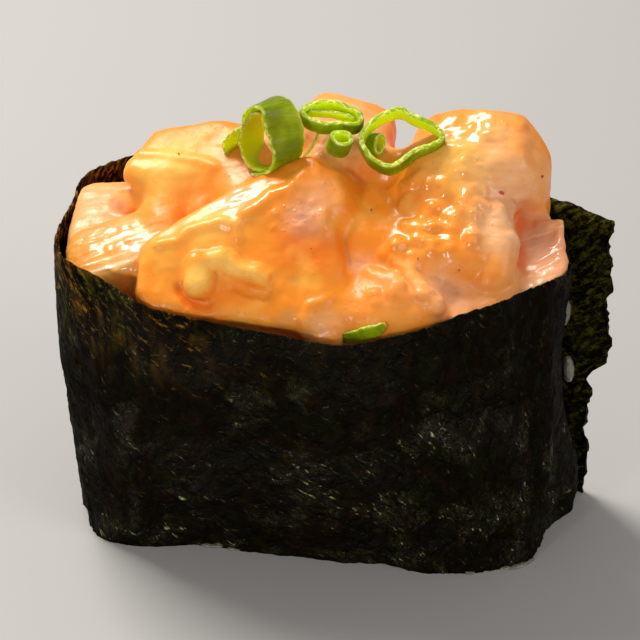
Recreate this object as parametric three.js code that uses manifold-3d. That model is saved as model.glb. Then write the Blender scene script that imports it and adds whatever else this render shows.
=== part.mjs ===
// Gunkan sushi: a boat of vinegared rice wrapped in a strip of nori, heaped with
// chunks of sauced fish and topped with curled slices of spring onion.
// Millimetres, +Z up, +X along the boat, the front side towards -Y.
// The origin is on the table, under the middle of the rice.
import * as THREE from "three";
import { mergeVertices } from "three/addons/utils/BufferGeometryUtils.js";
import Module from "manifold-3d";

// ---- driving dimensions -----------------------------------------------------

const CLEARANCE = 0.3; // between neighbouring pieces
const NORI_THICKNESS = 0.4;
const NORI_COLUMNS = 88; // steps along the strip
const NORI_ROWS = 8; // steps up the strip
const RICE_HEIGHT = 19;
const GRAIN_PITCH = 4.2; // wavelength of the rice's bumps
const BED_HEIGHT = 26.5; // top of the chopped fish that carries the chunks
const BOAT_CENTRE = new THREE.Vector2(0, -1);
const MERGE = 1e-3;
const TIDY = 0.09; // slivers and near-flat edges under this size are merged

const COLOURS = {
  nori: 0x1b1f16,
  rice: 0xefe8d8,
  sauce: 0xee9c4e,
  fish: 0xf0b58a,
  onion: 0x7fa01c,
  onionDark: 0x3f6a1c,
};

// The nori strip seen from above, from its tucked inner end round the right end,
// front, left end and back to the free flap: rim x, rim y, foot x, foot y, height.
const STRIP_COURSE = [
  [12.0, 9.4, 11.5, 9.2, 31.0],
  [18.5, 7.2, 18.0, 7.0, 31.5],
  [23.6, 4.6, 23.3, 4.5, 32.5],
  [26.0, 1.0, 25.8, 1.0, 33.0],
  [26.8, -4.5, 25.5, -4.5, 33.0],
  [26.4, -8.4, 24.9, -8.6, 33.0],
  [24.4, -10.6, 22.7, -11.2, 32.9],
  [20.8, -12.9, 19.4, -12.9, 32.4],
  [16.4, -15.1, 15.4, -13.4, 31.0],
  [10.8, -16.8, 10.6, -13.3, 29.6],
  [4.2, -17.5, 4.4, -12.9, 28.6],
  [-4.0, -17.3, -4.0, -12.4, 29.4],
  [-12.0, -16.3, -12.0, -12.9, 30.2],
  [-18.6, -14.2, -18.0, -13.2, 31.6],
  [-23.3, -10.4, -21.5, -11.3, 32.2],
  [-25.2, -5.0, -23.0, -6.0, 32.0],
  [-25.5, 3.0, -23.2, 3.0, 32.0],
  [-24.0, 9.6, -21.8, 9.3, 32.0],
  [-20.4, 13.2, -18.9, 12.5, 32.0],
  [-12.0, 14.7, -11.8, 13.4, 32.4],
  [-2.0, 14.9, -2.0, 13.6, 33.0],
  [7.5, 13.2, 7.2, 12.4, 33.2],
  [16.0, 9.5, 15.9, 9.3, 33.6],
  [24.2, 6.0, 24.2, 6.0, 34.2],
  [31.0, 3.2, 31.8, 2.6, 33.4],
];
const FLAP_START = 0.953; // where the strip leaves the boat, as a share of its course
const BOAT_CLOSE = 0.886; // where the back wall passes the tucked inner end

// ---- helpers ------------------------------------------------------------------

const wasm = await Module();
wasm.setup();

const clamp01 = (value) => Math.min(1, Math.max(0, value));
const bell = (value, centre, width) => Math.exp(-(((value - centre) / width) ** 2));
const ease = (value, from, to) => THREE.MathUtils.smoothstep(value, from, to);

/** A closed geometry, of points and triangles, as a manifold-3d solid. */
function solidOf(geometry) {
  const bare = geometry.clone();
  bare.deleteAttribute("normal");
  bare.deleteAttribute("uv");
  const merged = mergeVertices(bare, MERGE);
  return new wasm.Manifold(
    new wasm.Mesh({
      numProp: 3,
      vertProperties: new Float32Array(merged.attributes.position.array),
      triVerts: new Uint32Array(merged.index.array),
    }),
  );
}

/** The largest body of a solid as a geometry, without loose scraps. */
function geometryOf(solid) {
  const bodies = solid.simplify(TIDY).decompose();
  const largest = bodies.reduce((best, body) => (body.volume() > best.volume() ? body : best));
  const mesh = largest.getMesh();
  const geometry = new THREE.BufferGeometry();
  geometry.setAttribute("position", new THREE.BufferAttribute(mesh.vertProperties, 3));
  geometry.setIndex(new THREE.BufferAttribute(mesh.triVerts, 1));
  geometry.computeVertexNormals();
  return geometry;
}

/** A closed surface from a grid of points that wraps round in its first direction. */
function gridSolid(columns, rows, pointAt, capCentres) {
  const points = [];
  const faces = [];
  for (let i = 0; i < columns; i += 1) {
    for (let j = 0; j <= rows; j += 1) points.push(pointAt(i, j));
  }
  const at = (i, j) => (i % columns) * (rows + 1) + j;
  for (let i = 0; i < columns; i += 1) {
    for (let j = 0; j < rows; j += 1) {
      faces.push(at(i, j), at(i + 1, j), at(i + 1, j + 1));
      faces.push(at(i, j), at(i + 1, j + 1), at(i, j + 1));
    }
  }
  if (capCentres) {
    const [first, last] = [points.length, points.length + 1];
    points.push(...capCentres);
    for (let i = 0; i < columns; i += 1) {
      faces.push(first, at(i + 1, 0), at(i, 0));
      faces.push(last, at(i, rows), at(i + 1, rows));
    }
  }
  const geometry = new THREE.BufferGeometry().setFromPoints(points);
  geometry.setIndex(faces);
  return geometry;
}

/** Turns a geometry's faces round if they point inwards. */
function facingOut(geometry) {
  if (solidOf(geometry).volume() < 0) {
    const index = geometry.index.array;
    for (let i = 0; i < index.length; i += 3) {
      [index[i + 1], index[i + 2]] = [index[i + 2], index[i + 1]];
    }
  }
  return geometry;
}

/** A named mesh with a plain material of its own. */
function piece(name, geometry, colour, roughness = 0.5) {
  const material = new THREE.MeshStandardMaterial({ color: colour, roughness, metalness: 0 });
  const mesh = new THREE.Mesh(geometry, material);
  mesh.name = name;
  return mesh;
}

// ---- the nori strip -------------------------------------------------------------

const rimCurve = new THREE.CatmullRomCurve3(
  STRIP_COURSE.map(([x, y, , , height]) => new THREE.Vector3(x, y, height)),
  false,
  "centripetal",
);
const footCurve = new THREE.CatmullRomCurve3(
  STRIP_COURSE.map(([, , x, y]) => new THREE.Vector3(x, y, 0)),
  false,
  "centripetal",
);

// Relief of the wall: where along the course it sits and how far it reaches, as shares
// of the course, and its height above the table and depth, in millimetres.
const SWELLS = [
  { share: 0.29, reach: 0.055, z: RICE_HEIGHT + 0.5, tall: 1.5, depth: -0.75 }, // crease above the rice
  { share: 0.3, reach: 0.09, z: 12, tall: 6, depth: 0.55 }, // rice packed behind the front
  { share: 0.125, reach: 0.024, z: 3, tall: 8, depth: 2.2 }, // rice pushed into the seam's foot
];
const WAVES = [
  { turns: 61, climb: 0.09, depth: 0.28 },
  { turns: 113, climb: -0.21, depth: 0.16 },
];
const CALM = [
  { share: 0.02, reach: 0.1 }, // the tucked inner end
  { share: 0.86, reach: 0.08 }, // the wall that presses on it
];
const CALM_SHARE = 0.75;
const FLAP_CURL = { depth: 0.5, climb: 0.16, start: 0.6 };

/** How far the wall swells out of its plain course, by share of its course and height. */
function noriRelief(share, z) {
  const swells = SWELLS.reduce(
    (sum, form) => sum + form.depth * bell(z, form.z, form.tall) * bell(share, form.share, form.reach),
    0,
  );
  const waves = WAVES.reduce(
    (sum, { turns, climb, depth }) => sum + depth * Math.sin(share * turns + z * climb),
    0,
  );
  const loose = CALM.reduce((rest, { share: at, reach }) => rest - CALM_SHARE * bell(share, at, reach), 1);
  const flap = FLAP_CURL.depth * ease(share, FLAP_START, 1) * Math.sin(z * FLAP_CURL.climb + FLAP_CURL.start);
  return swells + waves * loose + flap;
}

const LEAN_POWER = 1.25; // how soon the wall gives up its outward lean on the way up
const ENDS = [
  { share: 0.65, reach: 0.07, power: 0.9 }, // the left end stands straighter above its foot
  { share: 0.17, reach: 0.05, power: -0.65 }, // the right end only flares near its rim
];
const OVER_RIM = 0.5; // share of the lean that goes on above the rim

/** A point at a height on the strip's middle surface, pushed outwards by offset. */
function wallPoint(share, z, offset) {
  const rim = rimCurve.getPoint(share);
  const foot = footCurve.getPoint(share);
  const rise = z / rim.z;
  const power = ENDS.reduce((sum, end) => sum + end.power * bell(share, end.share, end.reach), LEAN_POWER);
  const lean = 1 - (1 - clamp01(rise)) ** power + OVER_RIM * Math.max(0, rise - 1);
  const point = new THREE.Vector3().lerpVectors(foot, rim, lean);
  const ahead = rimCurve.getTangent(share);
  const outward = new THREE.Vector2(-ahead.y, ahead.x).normalize();
  const push = offset + noriRelief(share, z);
  return new THREE.Vector3(point.x + outward.x * push, point.y + outward.y * push, z);
}

const TORN = { share: 0.0125, from: 14.5, to: 17 };
const NIBBLE = { share: 0.0045, fine: 1.9, coarse: 0.83, start: 1.2 };

/** The torn end of the flap: the share of its course that is missing at a height. */
function tornEnd(z) {
  const nibbles = (2 + Math.sin(z * NIBBLE.fine) + Math.sin(z * NIBBLE.coarse + NIBBLE.start)) / 4;
  return TORN.share * (1 - ease(z, TORN.from, TORN.to)) + NIBBLE.share * nibbles;
}

function makeNori() {
  const loop = [];
  for (let j = 0; j <= NORI_ROWS; j += 1) loop.push([j, 0.5]);
  for (let j = NORI_ROWS; j >= 0; j -= 1) loop.push([j, -0.5]);
  const points = [];
  const faces = [];
  for (let i = 0; i <= NORI_COLUMNS; i += 1) {
    for (const [j, side] of loop) {
      const along = i / NORI_COLUMNS;
      const height = rimCurve.getPoint(along).z * (j / NORI_ROWS);
      const inFlap = clamp01((along - FLAP_START) / (1 - FLAP_START));
      const share = along - tornEnd(height) * inFlap;
      points.push(wallPoint(share, height, side * NORI_THICKNESS));
    }
  }
  const ring = loop.length;
  const at = (i, k) => i * ring + (k % ring);
  for (let i = 0; i < NORI_COLUMNS; i += 1) {
    for (let k = 0; k < ring; k += 1) {
      faces.push(at(i, k), at(i + 1, k), at(i + 1, k + 1));
      faces.push(at(i, k), at(i + 1, k + 1), at(i, k + 1));
    }
  }
  for (const i of [0, NORI_COLUMNS]) {
    for (let j = 0; j < NORI_ROWS; j += 1) {
      const [a, b, c, d] = [at(i, j), at(i, j + 1), at(i, ring - 2 - j), at(i, ring - 1 - j)];
      if (i === 0) faces.push(a, b, c, a, c, d);
      else faces.push(a, c, b, a, d, c);
    }
  }
  const geometry = new THREE.BufferGeometry().setFromPoints(points);
  geometry.setIndex(faces);
  return facingOut(geometry);
}

// ---- what fills the boat ----------------------------------------------------------

const BOAT_STEPS = 46;
const INSIDE = -NORI_THICKNESS / 2 - CLEARANCE;
const FAR_ABOVE = 60;

/**
 * A filling that follows the nori at an offset from its middle surface, from a flat
 * floor to an uneven top. Its caps are rings that shrink towards the boat's centre.
 */
function makeFilling({ floor, topAt, offset = INSIDE, rings = 3, levels = 2 }) {
  const rows = 2 * rings + levels;
  const meanTop = topAt(BOAT_CENTRE.x, BOAT_CENTRE.y);
  const pointAt = (i, j) => {
    const share = (BOAT_CLOSE * i) / (BOAT_STEPS - 1);
    const guess = wallPoint(share, (floor + meanTop) / 2, offset);
    const level = THREE.MathUtils.clamp(j - rings, 0, levels) / levels;
    const z = THREE.MathUtils.lerp(floor, topAt(guess.x, guess.y), level);
    const wall = wallPoint(share, z, offset);
    const fromCentre = Math.min(1, (j + 0.3) / rings, (rows - j + 0.3) / rings);
    const x = THREE.MathUtils.lerp(BOAT_CENTRE.x, wall.x, fromCentre);
    const y = THREE.MathUtils.lerp(BOAT_CENTRE.y, wall.y, fromCentre);
    if (j < rings) return new THREE.Vector3(x, y, floor);
    return new THREE.Vector3(x, y, j > rings + levels ? topAt(x, y) : z);
  };
  const centres = [
    new THREE.Vector3(BOAT_CENTRE.x, BOAT_CENTRE.y, floor),
    new THREE.Vector3(BOAT_CENTRE.x, BOAT_CENTRE.y, meanTop),
  ];
  return facingOut(gridSolid(BOAT_STEPS, rows, pointAt, centres));
}

const grainBumps = (x, y) =>
  Math.sin((x * 2 * Math.PI) / GRAIN_PITCH) * Math.sin((y * 2 * Math.PI) / (GRAIN_PITCH * 1.3) + x * 0.4);
const riceTop = (x, y) => RICE_HEIGHT + 0.6 * grainBumps(x, y) - 0.002 * x * x;
const bedTop = (x, y) => BED_HEIGHT + 0.004 * x * x - 0.9 * bell(y, -16, 5) + 0.3 * Math.sin(x * 0.5 + y * 0.4);

// ---- fish chunks --------------------------------------------------------------------

// Each chunk: the ends of its middle line, width, thickness, how far it leans towards
// the front in degrees, how its width and thickness grow towards the second end, and
// how square its edges are, and how finely it is faceted.
const CHUNKS = {
  fish_crest: {
    from: [-16.0, -11.4, 29.6], to: [4.2, -6.0, 33.2],
    width: 14.4, thick: 8.8, lean: 44, widen: 0.5, thicken: 0.1, square: 3.8, facets: 4,
  },
  fish_right_block: {
    from: [7.4, -3.6, 32.2], to: [21.4, -4.6, 33.2],
    width: 11.5, thick: 10, lean: 24, widen: -0.05, thicken: 0, square: 3.4, facets: 4,
  },
  fish_front_right: {
    from: [4.8, -11.2, 28.8], to: [16.0, -11.0, 29.8],
    width: 8.4, thick: 7.6, lean: 18, widen: -0.1, thicken: 0, square: 2.8, facets: 3,
  },
  fish_rim_scrap: {
    from: [1.8, -13.4, 27.4], to: [6.2, -13.8, 28.4],
    width: 4.6, thick: 4.6, lean: 30, widen: 0, thicken: 0, square: 2.3, facets: 2,
  },
  fish_right_slab: {
    from: [20.6, -5.4, 30.4], to: [26.7, -2.8, 32.0],
    width: 10.6, thick: 5, lean: 15, widen: 0, thicken: 0, square: 5.5, facets: 3,
  },
  fish_corner_slab: {
    from: [14.6, -10.8, 29.2], to: [22.4, -8.4, 30.6],
    width: 6.4, thick: 4.6, lean: 22, widen: -0.1, thicken: 0, square: 4, facets: 2,
  },
  fish_left_front: {
    from: [-23.4, -7.8, 28.0], to: [-11.6, -5.6, 31.6],
    width: 8.4, thick: 7, lean: 16, widen: 0, thicken: 0.05, square: 4, facets: 3,
  },
  fish_left_slab: {
    from: [-24.8, -0.6, 29.2], to: [-16.2, 0.2, 29.8],
    width: 11.5, thick: 6, lean: 10, widen: 0, thicken: 0, square: 4.5, facets: 3,
  },
  fish_left_cap: {
    from: [-19.8, 2.2, 35.6], to: [-6.2, 3.6, 35.2],
    width: 8.6, thick: 9.2, lean: 8, widen: 0.15, thicken: 0.35, square: 2.9, facets: 3,
  },
  fish_right_tall: {
    from: [10.2, 4.4, 36.8], to: [24.2, 3.6, 37.6],
    width: 9.4, thick: 13.2, lean: 22, widen: 0.06, thicken: 0.06, square: 3.4, facets: 4,
  },
  fish_centre: {
    from: [-9.8, -0.4, 33.6], to: [-1.6, 4.2, 37.0],
    width: 10, thick: 9.6, lean: 10, widen: 0, thicken: 0, square: 3, facets: 3,
  },
  fish_back_top: {
    from: [-2.2, 5.8, 38.4], to: [7.4, 5.2, 37.0],
    width: 9.4, thick: 10, lean: 6, widen: 0, thicken: -0.1, square: 3, facets: 3,
  },
  fish_valley: {
    from: [6.0, 1.6, 35.2], to: [7.2, -8.2, 30.8],
    width: 8.8, thick: 8.4, lean: 0, widen: 0, thicken: 0, square: 2.7, facets: 3,
  },
  fish_back_left: {
    from: [-20.6, 7.6, 30.6], to: [-8.6, 10.4, 31.6],
    width: 7.4, thick: 8.6, lean: -12, widen: 0, thicken: 0, square: 3.2, facets: 3,
  },
  fish_back_middle: {
    from: [-6.4, 10.8, 33.2], to: [5.4, 10.2, 33.4],
    width: 7.4, thick: 9.6, lean: -14, widen: 0, thicken: 0, square: 3.2, facets: 3,
  },
  fish_back_right: {
    from: [6.8, 8.8, 32.4], to: [18.6, 6.0, 32.2],
    width: 6.8, thick: 9.4, lean: -10, widen: 0, thicken: 0, square: 3.2, facets: 2,
  },
};
const CHUNK_LUMP = 0.045;

// Small scraps, given in the same way: a sliver of leaf at the front rim, and the
// crushed grains that glue the flap to the right end.
const SCRAPS = {
  onion_rim_sliver: {
    from: [5.6, -16.1, 28.0], to: [10.8, -15.9, 30.2], colour: COLOURS.onionDark,
    width: 1.7, thick: 0.8, lean: 62, widen: 0, thicken: 0, square: 2.6, facets: 1,
  },
  rice_glue_upper: {
    from: [26.1, 3.2, 20.8], to: [26.3, 3.3, 23.8], colour: COLOURS.rice,
    width: 1.2, thick: 1.2, lean: 0, widen: 0, thicken: 0, square: 2.4, facets: 1,
  },
  rice_glue_lower: {
    from: [26.9, 2.9, 14.2], to: [26.7, 2.8, 17.4], colour: COLOURS.rice,
    width: 1.5, thick: 1.3, lean: 0, widen: 0, thicken: 0, square: 2.4, facets: 1,
  },
};

/** The frame of a chunk: its length, leaning width and thickness directions. */
function chunkFrame({ from, to, lean }) {
  const start = new THREE.Vector3(...from);
  const end = new THREE.Vector3(...to);
  const length = end.clone().sub(start).normalize();
  const width = new THREE.Vector3(0, 0, 1).cross(length).normalize();
  width.applyAxisAngle(length, THREE.MathUtils.degToRad(lean));
  const thickness = length.clone().cross(width);
  const centre = start.clone().lerp(end, 0.5);
  return { centre, basis: new THREE.Matrix4().makeBasis(length, width, thickness), span: start.distanceTo(end) };
}

/** A rounded, slightly lumpy block of fish, swollen on all sides by grow. */
function chunkGeometry(chunk, grow, seed) {
  const { centre, basis, span } = chunkFrame(chunk);
  const half = new THREE.Vector3(span / 2, chunk.width / 2, chunk.thick / 2).addScalar(grow);
  const geometry = new THREE.IcosahedronGeometry(1, chunk.facets);
  const position = geometry.attributes.position;
  const point = new THREE.Vector3();
  for (let i = 0; i < position.count; i += 1) {
    point.fromBufferAttribute(position, i).normalize();
    const power = chunk.square;
    const sum = Math.abs(point.x) ** power + Math.abs(point.y) ** power + Math.abs(point.z) ** power;
    const lumps =
      Math.sin(3.3 * point.x + seed) + Math.sin(4.1 * point.y + 2 * seed) + Math.sin(3.7 * point.z + 3 * seed);
    point.multiplyScalar(sum ** (-1 / power) * (1 + (CHUNK_LUMP * lumps) / 3));
    const taperWidth = 1 + chunk.widen * point.x;
    const taperThick = 1 + chunk.thicken * point.x;
    point.set(point.x * half.x, point.y * half.y * taperWidth, point.z * half.z * taperThick);
    point.applyMatrix4(basis).add(centre);
    position.setXYZ(i, point.x, point.y, point.z);
  }
  geometry.deleteAttribute("normal");
  geometry.deleteAttribute("uv");
  return facingOut(mergeVertices(geometry, MERGE));
}

// ---- spring onion ---------------------------------------------------------------------

// Each slice of leaf: its centre, the axis it was cut along, the direction of its long
// diameter, both outer diameters, the slice's height, how much its outline wobbles,
// and how much it narrows at one side.
const ONION_SLICES = {
  onion_curl: {
    at: [-4.9, -0.6, 42.3], axis: [-0.642, -0.764, 0.053], long: [0.774, -0.63, 0.06],
    across: [7.5, 7.3], tall: 3.5, wobble: 0.03, pinch: 0.36,
  },
  onion_open_ring: {
    at: [9.3, -0.7, 42.6], axis: [0.05, -0.61, 0.8], long: [1, 0.15, 0.05],
    across: [9.4, 7.2], tall: 1.1, wobble: 0.05, pinch: 0,
  },
  onion_flat_ring: {
    at: [1.8, 0.3, 44.1], axis: [0.12, -0.3, 0.95], long: [0.98, 0.1, -0.1],
    across: [6.7, 4.2], tall: 1.4, wobble: 0.05, pinch: 0,
  },
  onion_small_curl: {
    at: [3.4, -2.6, 43.0], axis: [0.3, -0.35, 0.88], long: [1, 0.2, 0],
    across: [2.8, 2.2], tall: 2.2, wobble: 0, pinch: 0,
  },
  onion_tiny_ring: {
    at: [6.6, 0.4, 41.7], axis: [0.7, -0.6, 0.3], long: [0.2, 0.4, 0.9],
    across: [2.5, 1.9], tall: 1.4, wobble: 0, pinch: 0,
  },
};
const ONION_WALL = 0.85;
const ONION_STEPS = 36;

/** A ring cut from a hollow leaf: a rectangle carried round a wobbly oval. */
function onionSlice({ at, axis, long, across, tall, wobble, pinch }, grow) {
  const up = new THREE.Vector3(...axis).normalize();
  const side = new THREE.Vector3(...long);
  side.addScaledVector(up, -side.dot(up)).normalize();
  const deep = up.clone().cross(side);
  const middle = [across[0] - ONION_WALL, across[1] - ONION_WALL];
  const section = [
    [-1, -1],
    [1, -1],
    [1, 1],
    [-1, 1],
  ];
  const steps = across[0] > 4 ? ONION_STEPS : ONION_STEPS / 2;
  const pointAt = (i, j) => {
    const turn = (2 * Math.PI * i) / steps;
    const wobbled = 1 + wobble * Math.sin(3 * turn + 0.7) + 0.6 * wobble * Math.sin(5 * turn);
    const [out, rise] = section[j % section.length];
    const wall = out * (ONION_WALL / 2 + grow);
    const narrowed = 1 - pinch * Math.sin(turn);
    const x = Math.cos(turn) * ((middle[0] / 2) * wobbled * narrowed + wall);
    const y = Math.sin(turn) * ((middle[1] / 2) * wobbled + wall);
    const z = rise * (tall / 2 + grow) + wobble * 6 * Math.sin(2 * turn + 1);
    return new THREE.Vector3(...at).addScaledVector(side, x).addScaledVector(deep, y).addScaledVector(up, z);
  };
  return facingOut(mergeVertices(gridSolid(steps, section.length, pointAt, null), MERGE));
}

// ---- the whole boat ---------------------------------------------------------------------

const sushi = new THREE.Group();
const noriGeometry = makeNori();
sushi.add(piece("nori", noriGeometry, COLOURS.nori, 0.55));
sushi.add(piece("rice", makeFilling({ floor: 0, topAt: riceTop, levels: 4 }), COLOURS.rice, 0.7));

const bedFloor = RICE_HEIGHT + 1.2;
const bed = makeFilling({ floor: bedFloor, topAt: bedTop });
sushi.add(piece("fish_bed", bed, COLOURS.sauce, 0.35));

// Room for the chunks: everything above the bed and inside the nori, as far as it reaches.
const room = solidOf(makeFilling({ floor: bedFloor, topAt: () => FAR_ABOVE, levels: 12 }));
const overBed = (x, y) => bedTop(x, y) + CLEARANCE;
const bedGrown = solidOf(makeFilling({ floor: bedFloor - 1, topAt: overBed, offset: 1 }));
const taken = [bedGrown];
Object.entries(CHUNKS).forEach(([name, chunk], order) => {
  const body = solidOf(chunkGeometry(chunk, 0, order + 1));
  const cut = body.intersect(room).subtract(wasm.Manifold.union(taken));
  sushi.add(piece(name, geometryOf(cut), COLOURS.fish, 0.35));
  taken.push(solidOf(chunkGeometry(chunk, CLEARANCE, order + 1)));
});

Object.entries(ONION_SLICES).forEach(([name, slice]) => {
  const cut = solidOf(onionSlice(slice, 0)).subtract(wasm.Manifold.union(taken));
  sushi.add(piece(name, geometryOf(cut), COLOURS.onion, 0.4));
  taken.push(solidOf(onionSlice(slice, CLEARANCE)));
});

Object.entries(SCRAPS).forEach(([name, scrap], order) => {
  const cut = solidOf(chunkGeometry(scrap, 0, order)).subtract(wasm.Manifold.union(taken));
  sushi.add(piece(name, geometryOf(cut), scrap.colour, 0.45));
});

export default sushi;
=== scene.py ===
"""Gunkan sushi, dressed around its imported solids: nori strip, sauced fish, spring onion and rice.

Lengths are millimetres until a mesh is made, which turns them into metres. +Z is up, the
boat lies along X and its front side is towards -Y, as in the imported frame.
"""

from __future__ import annotations

import itertools
import logging
import math
from dataclasses import dataclass, field, replace
from enum import Enum
from typing import Iterable, Iterator, Mapping, Sequence

import bpy
import numpy as np
from mathutils import Matrix


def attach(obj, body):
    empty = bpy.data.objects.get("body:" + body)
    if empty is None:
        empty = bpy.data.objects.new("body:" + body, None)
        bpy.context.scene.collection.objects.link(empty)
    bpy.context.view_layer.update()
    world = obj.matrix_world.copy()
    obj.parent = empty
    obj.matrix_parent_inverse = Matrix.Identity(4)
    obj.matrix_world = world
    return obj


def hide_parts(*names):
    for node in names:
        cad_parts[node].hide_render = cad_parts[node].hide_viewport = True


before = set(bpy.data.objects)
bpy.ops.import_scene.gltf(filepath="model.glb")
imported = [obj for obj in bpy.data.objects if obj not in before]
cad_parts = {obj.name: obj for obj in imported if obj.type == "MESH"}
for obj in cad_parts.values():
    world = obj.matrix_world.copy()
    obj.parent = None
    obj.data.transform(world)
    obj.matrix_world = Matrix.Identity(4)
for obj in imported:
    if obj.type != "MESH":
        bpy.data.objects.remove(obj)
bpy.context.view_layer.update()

MM = 0.001
LOG = logging.getLogger("gunkan")
Array = np.ndarray
Material = bpy.types.Material
Socket = bpy.types.NodeSocket
Point = tuple[float, float, float]
Colour = tuple[float, float, float]
FlatPoint = tuple[float, float]
Spot = tuple[float, float, float, float]


class Slot(Enum):
    """The record's material slots."""

    NORI = "nori"
    RICE = "rice"
    SAUCE = "sauce"
    FISH = "fish"
    ONION = "onion"


# ---- numbers over a surface ----


def smooth(value: Array, low: float, high: float) -> Array:
    """Eases from 0 at low to 1 at high."""
    share = np.clip((value - low) / (high - low), 0.0, 1.0)
    return share * share * (3.0 - 2.0 * share)


def bell(value: Array, centre: float, width: float) -> Array:
    """A bump of height 1 around a centre."""
    return np.exp(-(((value - centre) / width) ** 2))


def soft_min(a: Array, b: Array, width: float) -> Array:
    """The smaller of two fields, rounded over a width where they meet."""
    near = np.maximum(width - np.abs(a - b), 0) / width
    return np.minimum(a, b) - near * near * width / 4


def unit(vectors: Array) -> Array:
    """Vectors of length 1 along the last axis."""
    length = np.linalg.norm(vectors, axis=-1, keepdims=True)
    return vectors / np.maximum(length, 1e-12)


class Lattice:
    """Seeded gradient noise in space, about -1 to 1."""

    SIZE = 256
    # brings the noise to about -1 to 1
    GAIN = 1.7
    # each octave is a little more than twice as fine, so that their cells don't line up
    FINER = 2.03

    def __init__(self, seed: int) -> None:
        """Draws the lattice's order and directions from a seed.

        Args:
            seed: what the draws start from.
        """
        draw = np.random.default_rng(seed)
        self.order = draw.permutation(self.SIZE)
        self.directions = unit(draw.normal(size=(self.SIZE, 3)))

    def at(self, points: Array) -> Array:
        """Noise at points.

        Args:
            points: n by 3, in units of the lattice's cells.

        Returns:
            n values.
        """
        cell = np.floor(points).astype(np.int64)
        part = points - cell
        ease = part**3 * (part * (part * 6 - 15) + 10)
        total = np.zeros(len(points))
        for corner in itertools.product((0, 1), repeat=3):
            key = np.zeros(len(points), dtype=np.int64)
            weight = np.ones(len(points))
            for axis, step in enumerate(corner):
                key = self.order[(key + cell[:, axis] + step) % self.SIZE]
                weight = weight * (ease[:, axis] if step else 1 - ease[:, axis])
            total += weight * np.einsum("ij,ij->i", self.directions[key], part - np.array(corner))
        return total * self.GAIN

    def _octaves(self, points: Array, octaves: int, gain: float,
                 shift: float) -> Iterator[tuple[float, Array]]:
        """The octaves of layered noise, one by one.

        Args:
            points: n by 3, in units of the coarsest cells.
            octaves: how many there are.
            gain: strength of each, against the one before.
            shift: how far each is moved, so that they don't share their cells.

        Yields:
            Its strength and its n values.
        """
        scale, strength = 1.0, 1.0
        for octave in range(octaves):
            yield strength, self.at(points * scale + shift * octave)
            scale *= self.FINER
            strength *= gain

    def layered(self, points: Array, octaves: int = 4, gain: float = 0.5) -> Array:
        """Octaves of noise, summed.

        Args:
            points: n by 3, in units of the coarsest cells.
            octaves: how many are summed.
            gain: strength of each, against the one before.

        Returns:
            n values, about -1 to 1.
        """
        return sum(strength * noise for strength, noise in self._octaves(points, octaves, gain, 13.7))

    def ridged(self, points: Array, octaves: int = 3, gain: float = 0.5) -> Array:
        """Octaves of folded noise with sharp ridges, by layered's arguments; 0 to about 1."""
        parts = self._octaves(points, octaves, gain, 7.3)
        return sum(share * (1 - np.abs(noise)) ** 2 for share, noise in parts) / (2 - gain ** (octaves - 1))


# ---- meshes ----


def linked(name: str, data: bpy.types.ID) -> bpy.types.Object:
    """A new object with a mesh, light or camera, in the scene.

    Args:
        name: its name.
        data: its mesh, light or camera.

    Returns:
        The object.
    """
    thing = bpy.data.objects.new(name, data)
    bpy.context.scene.collection.objects.link(thing)
    return thing


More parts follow.
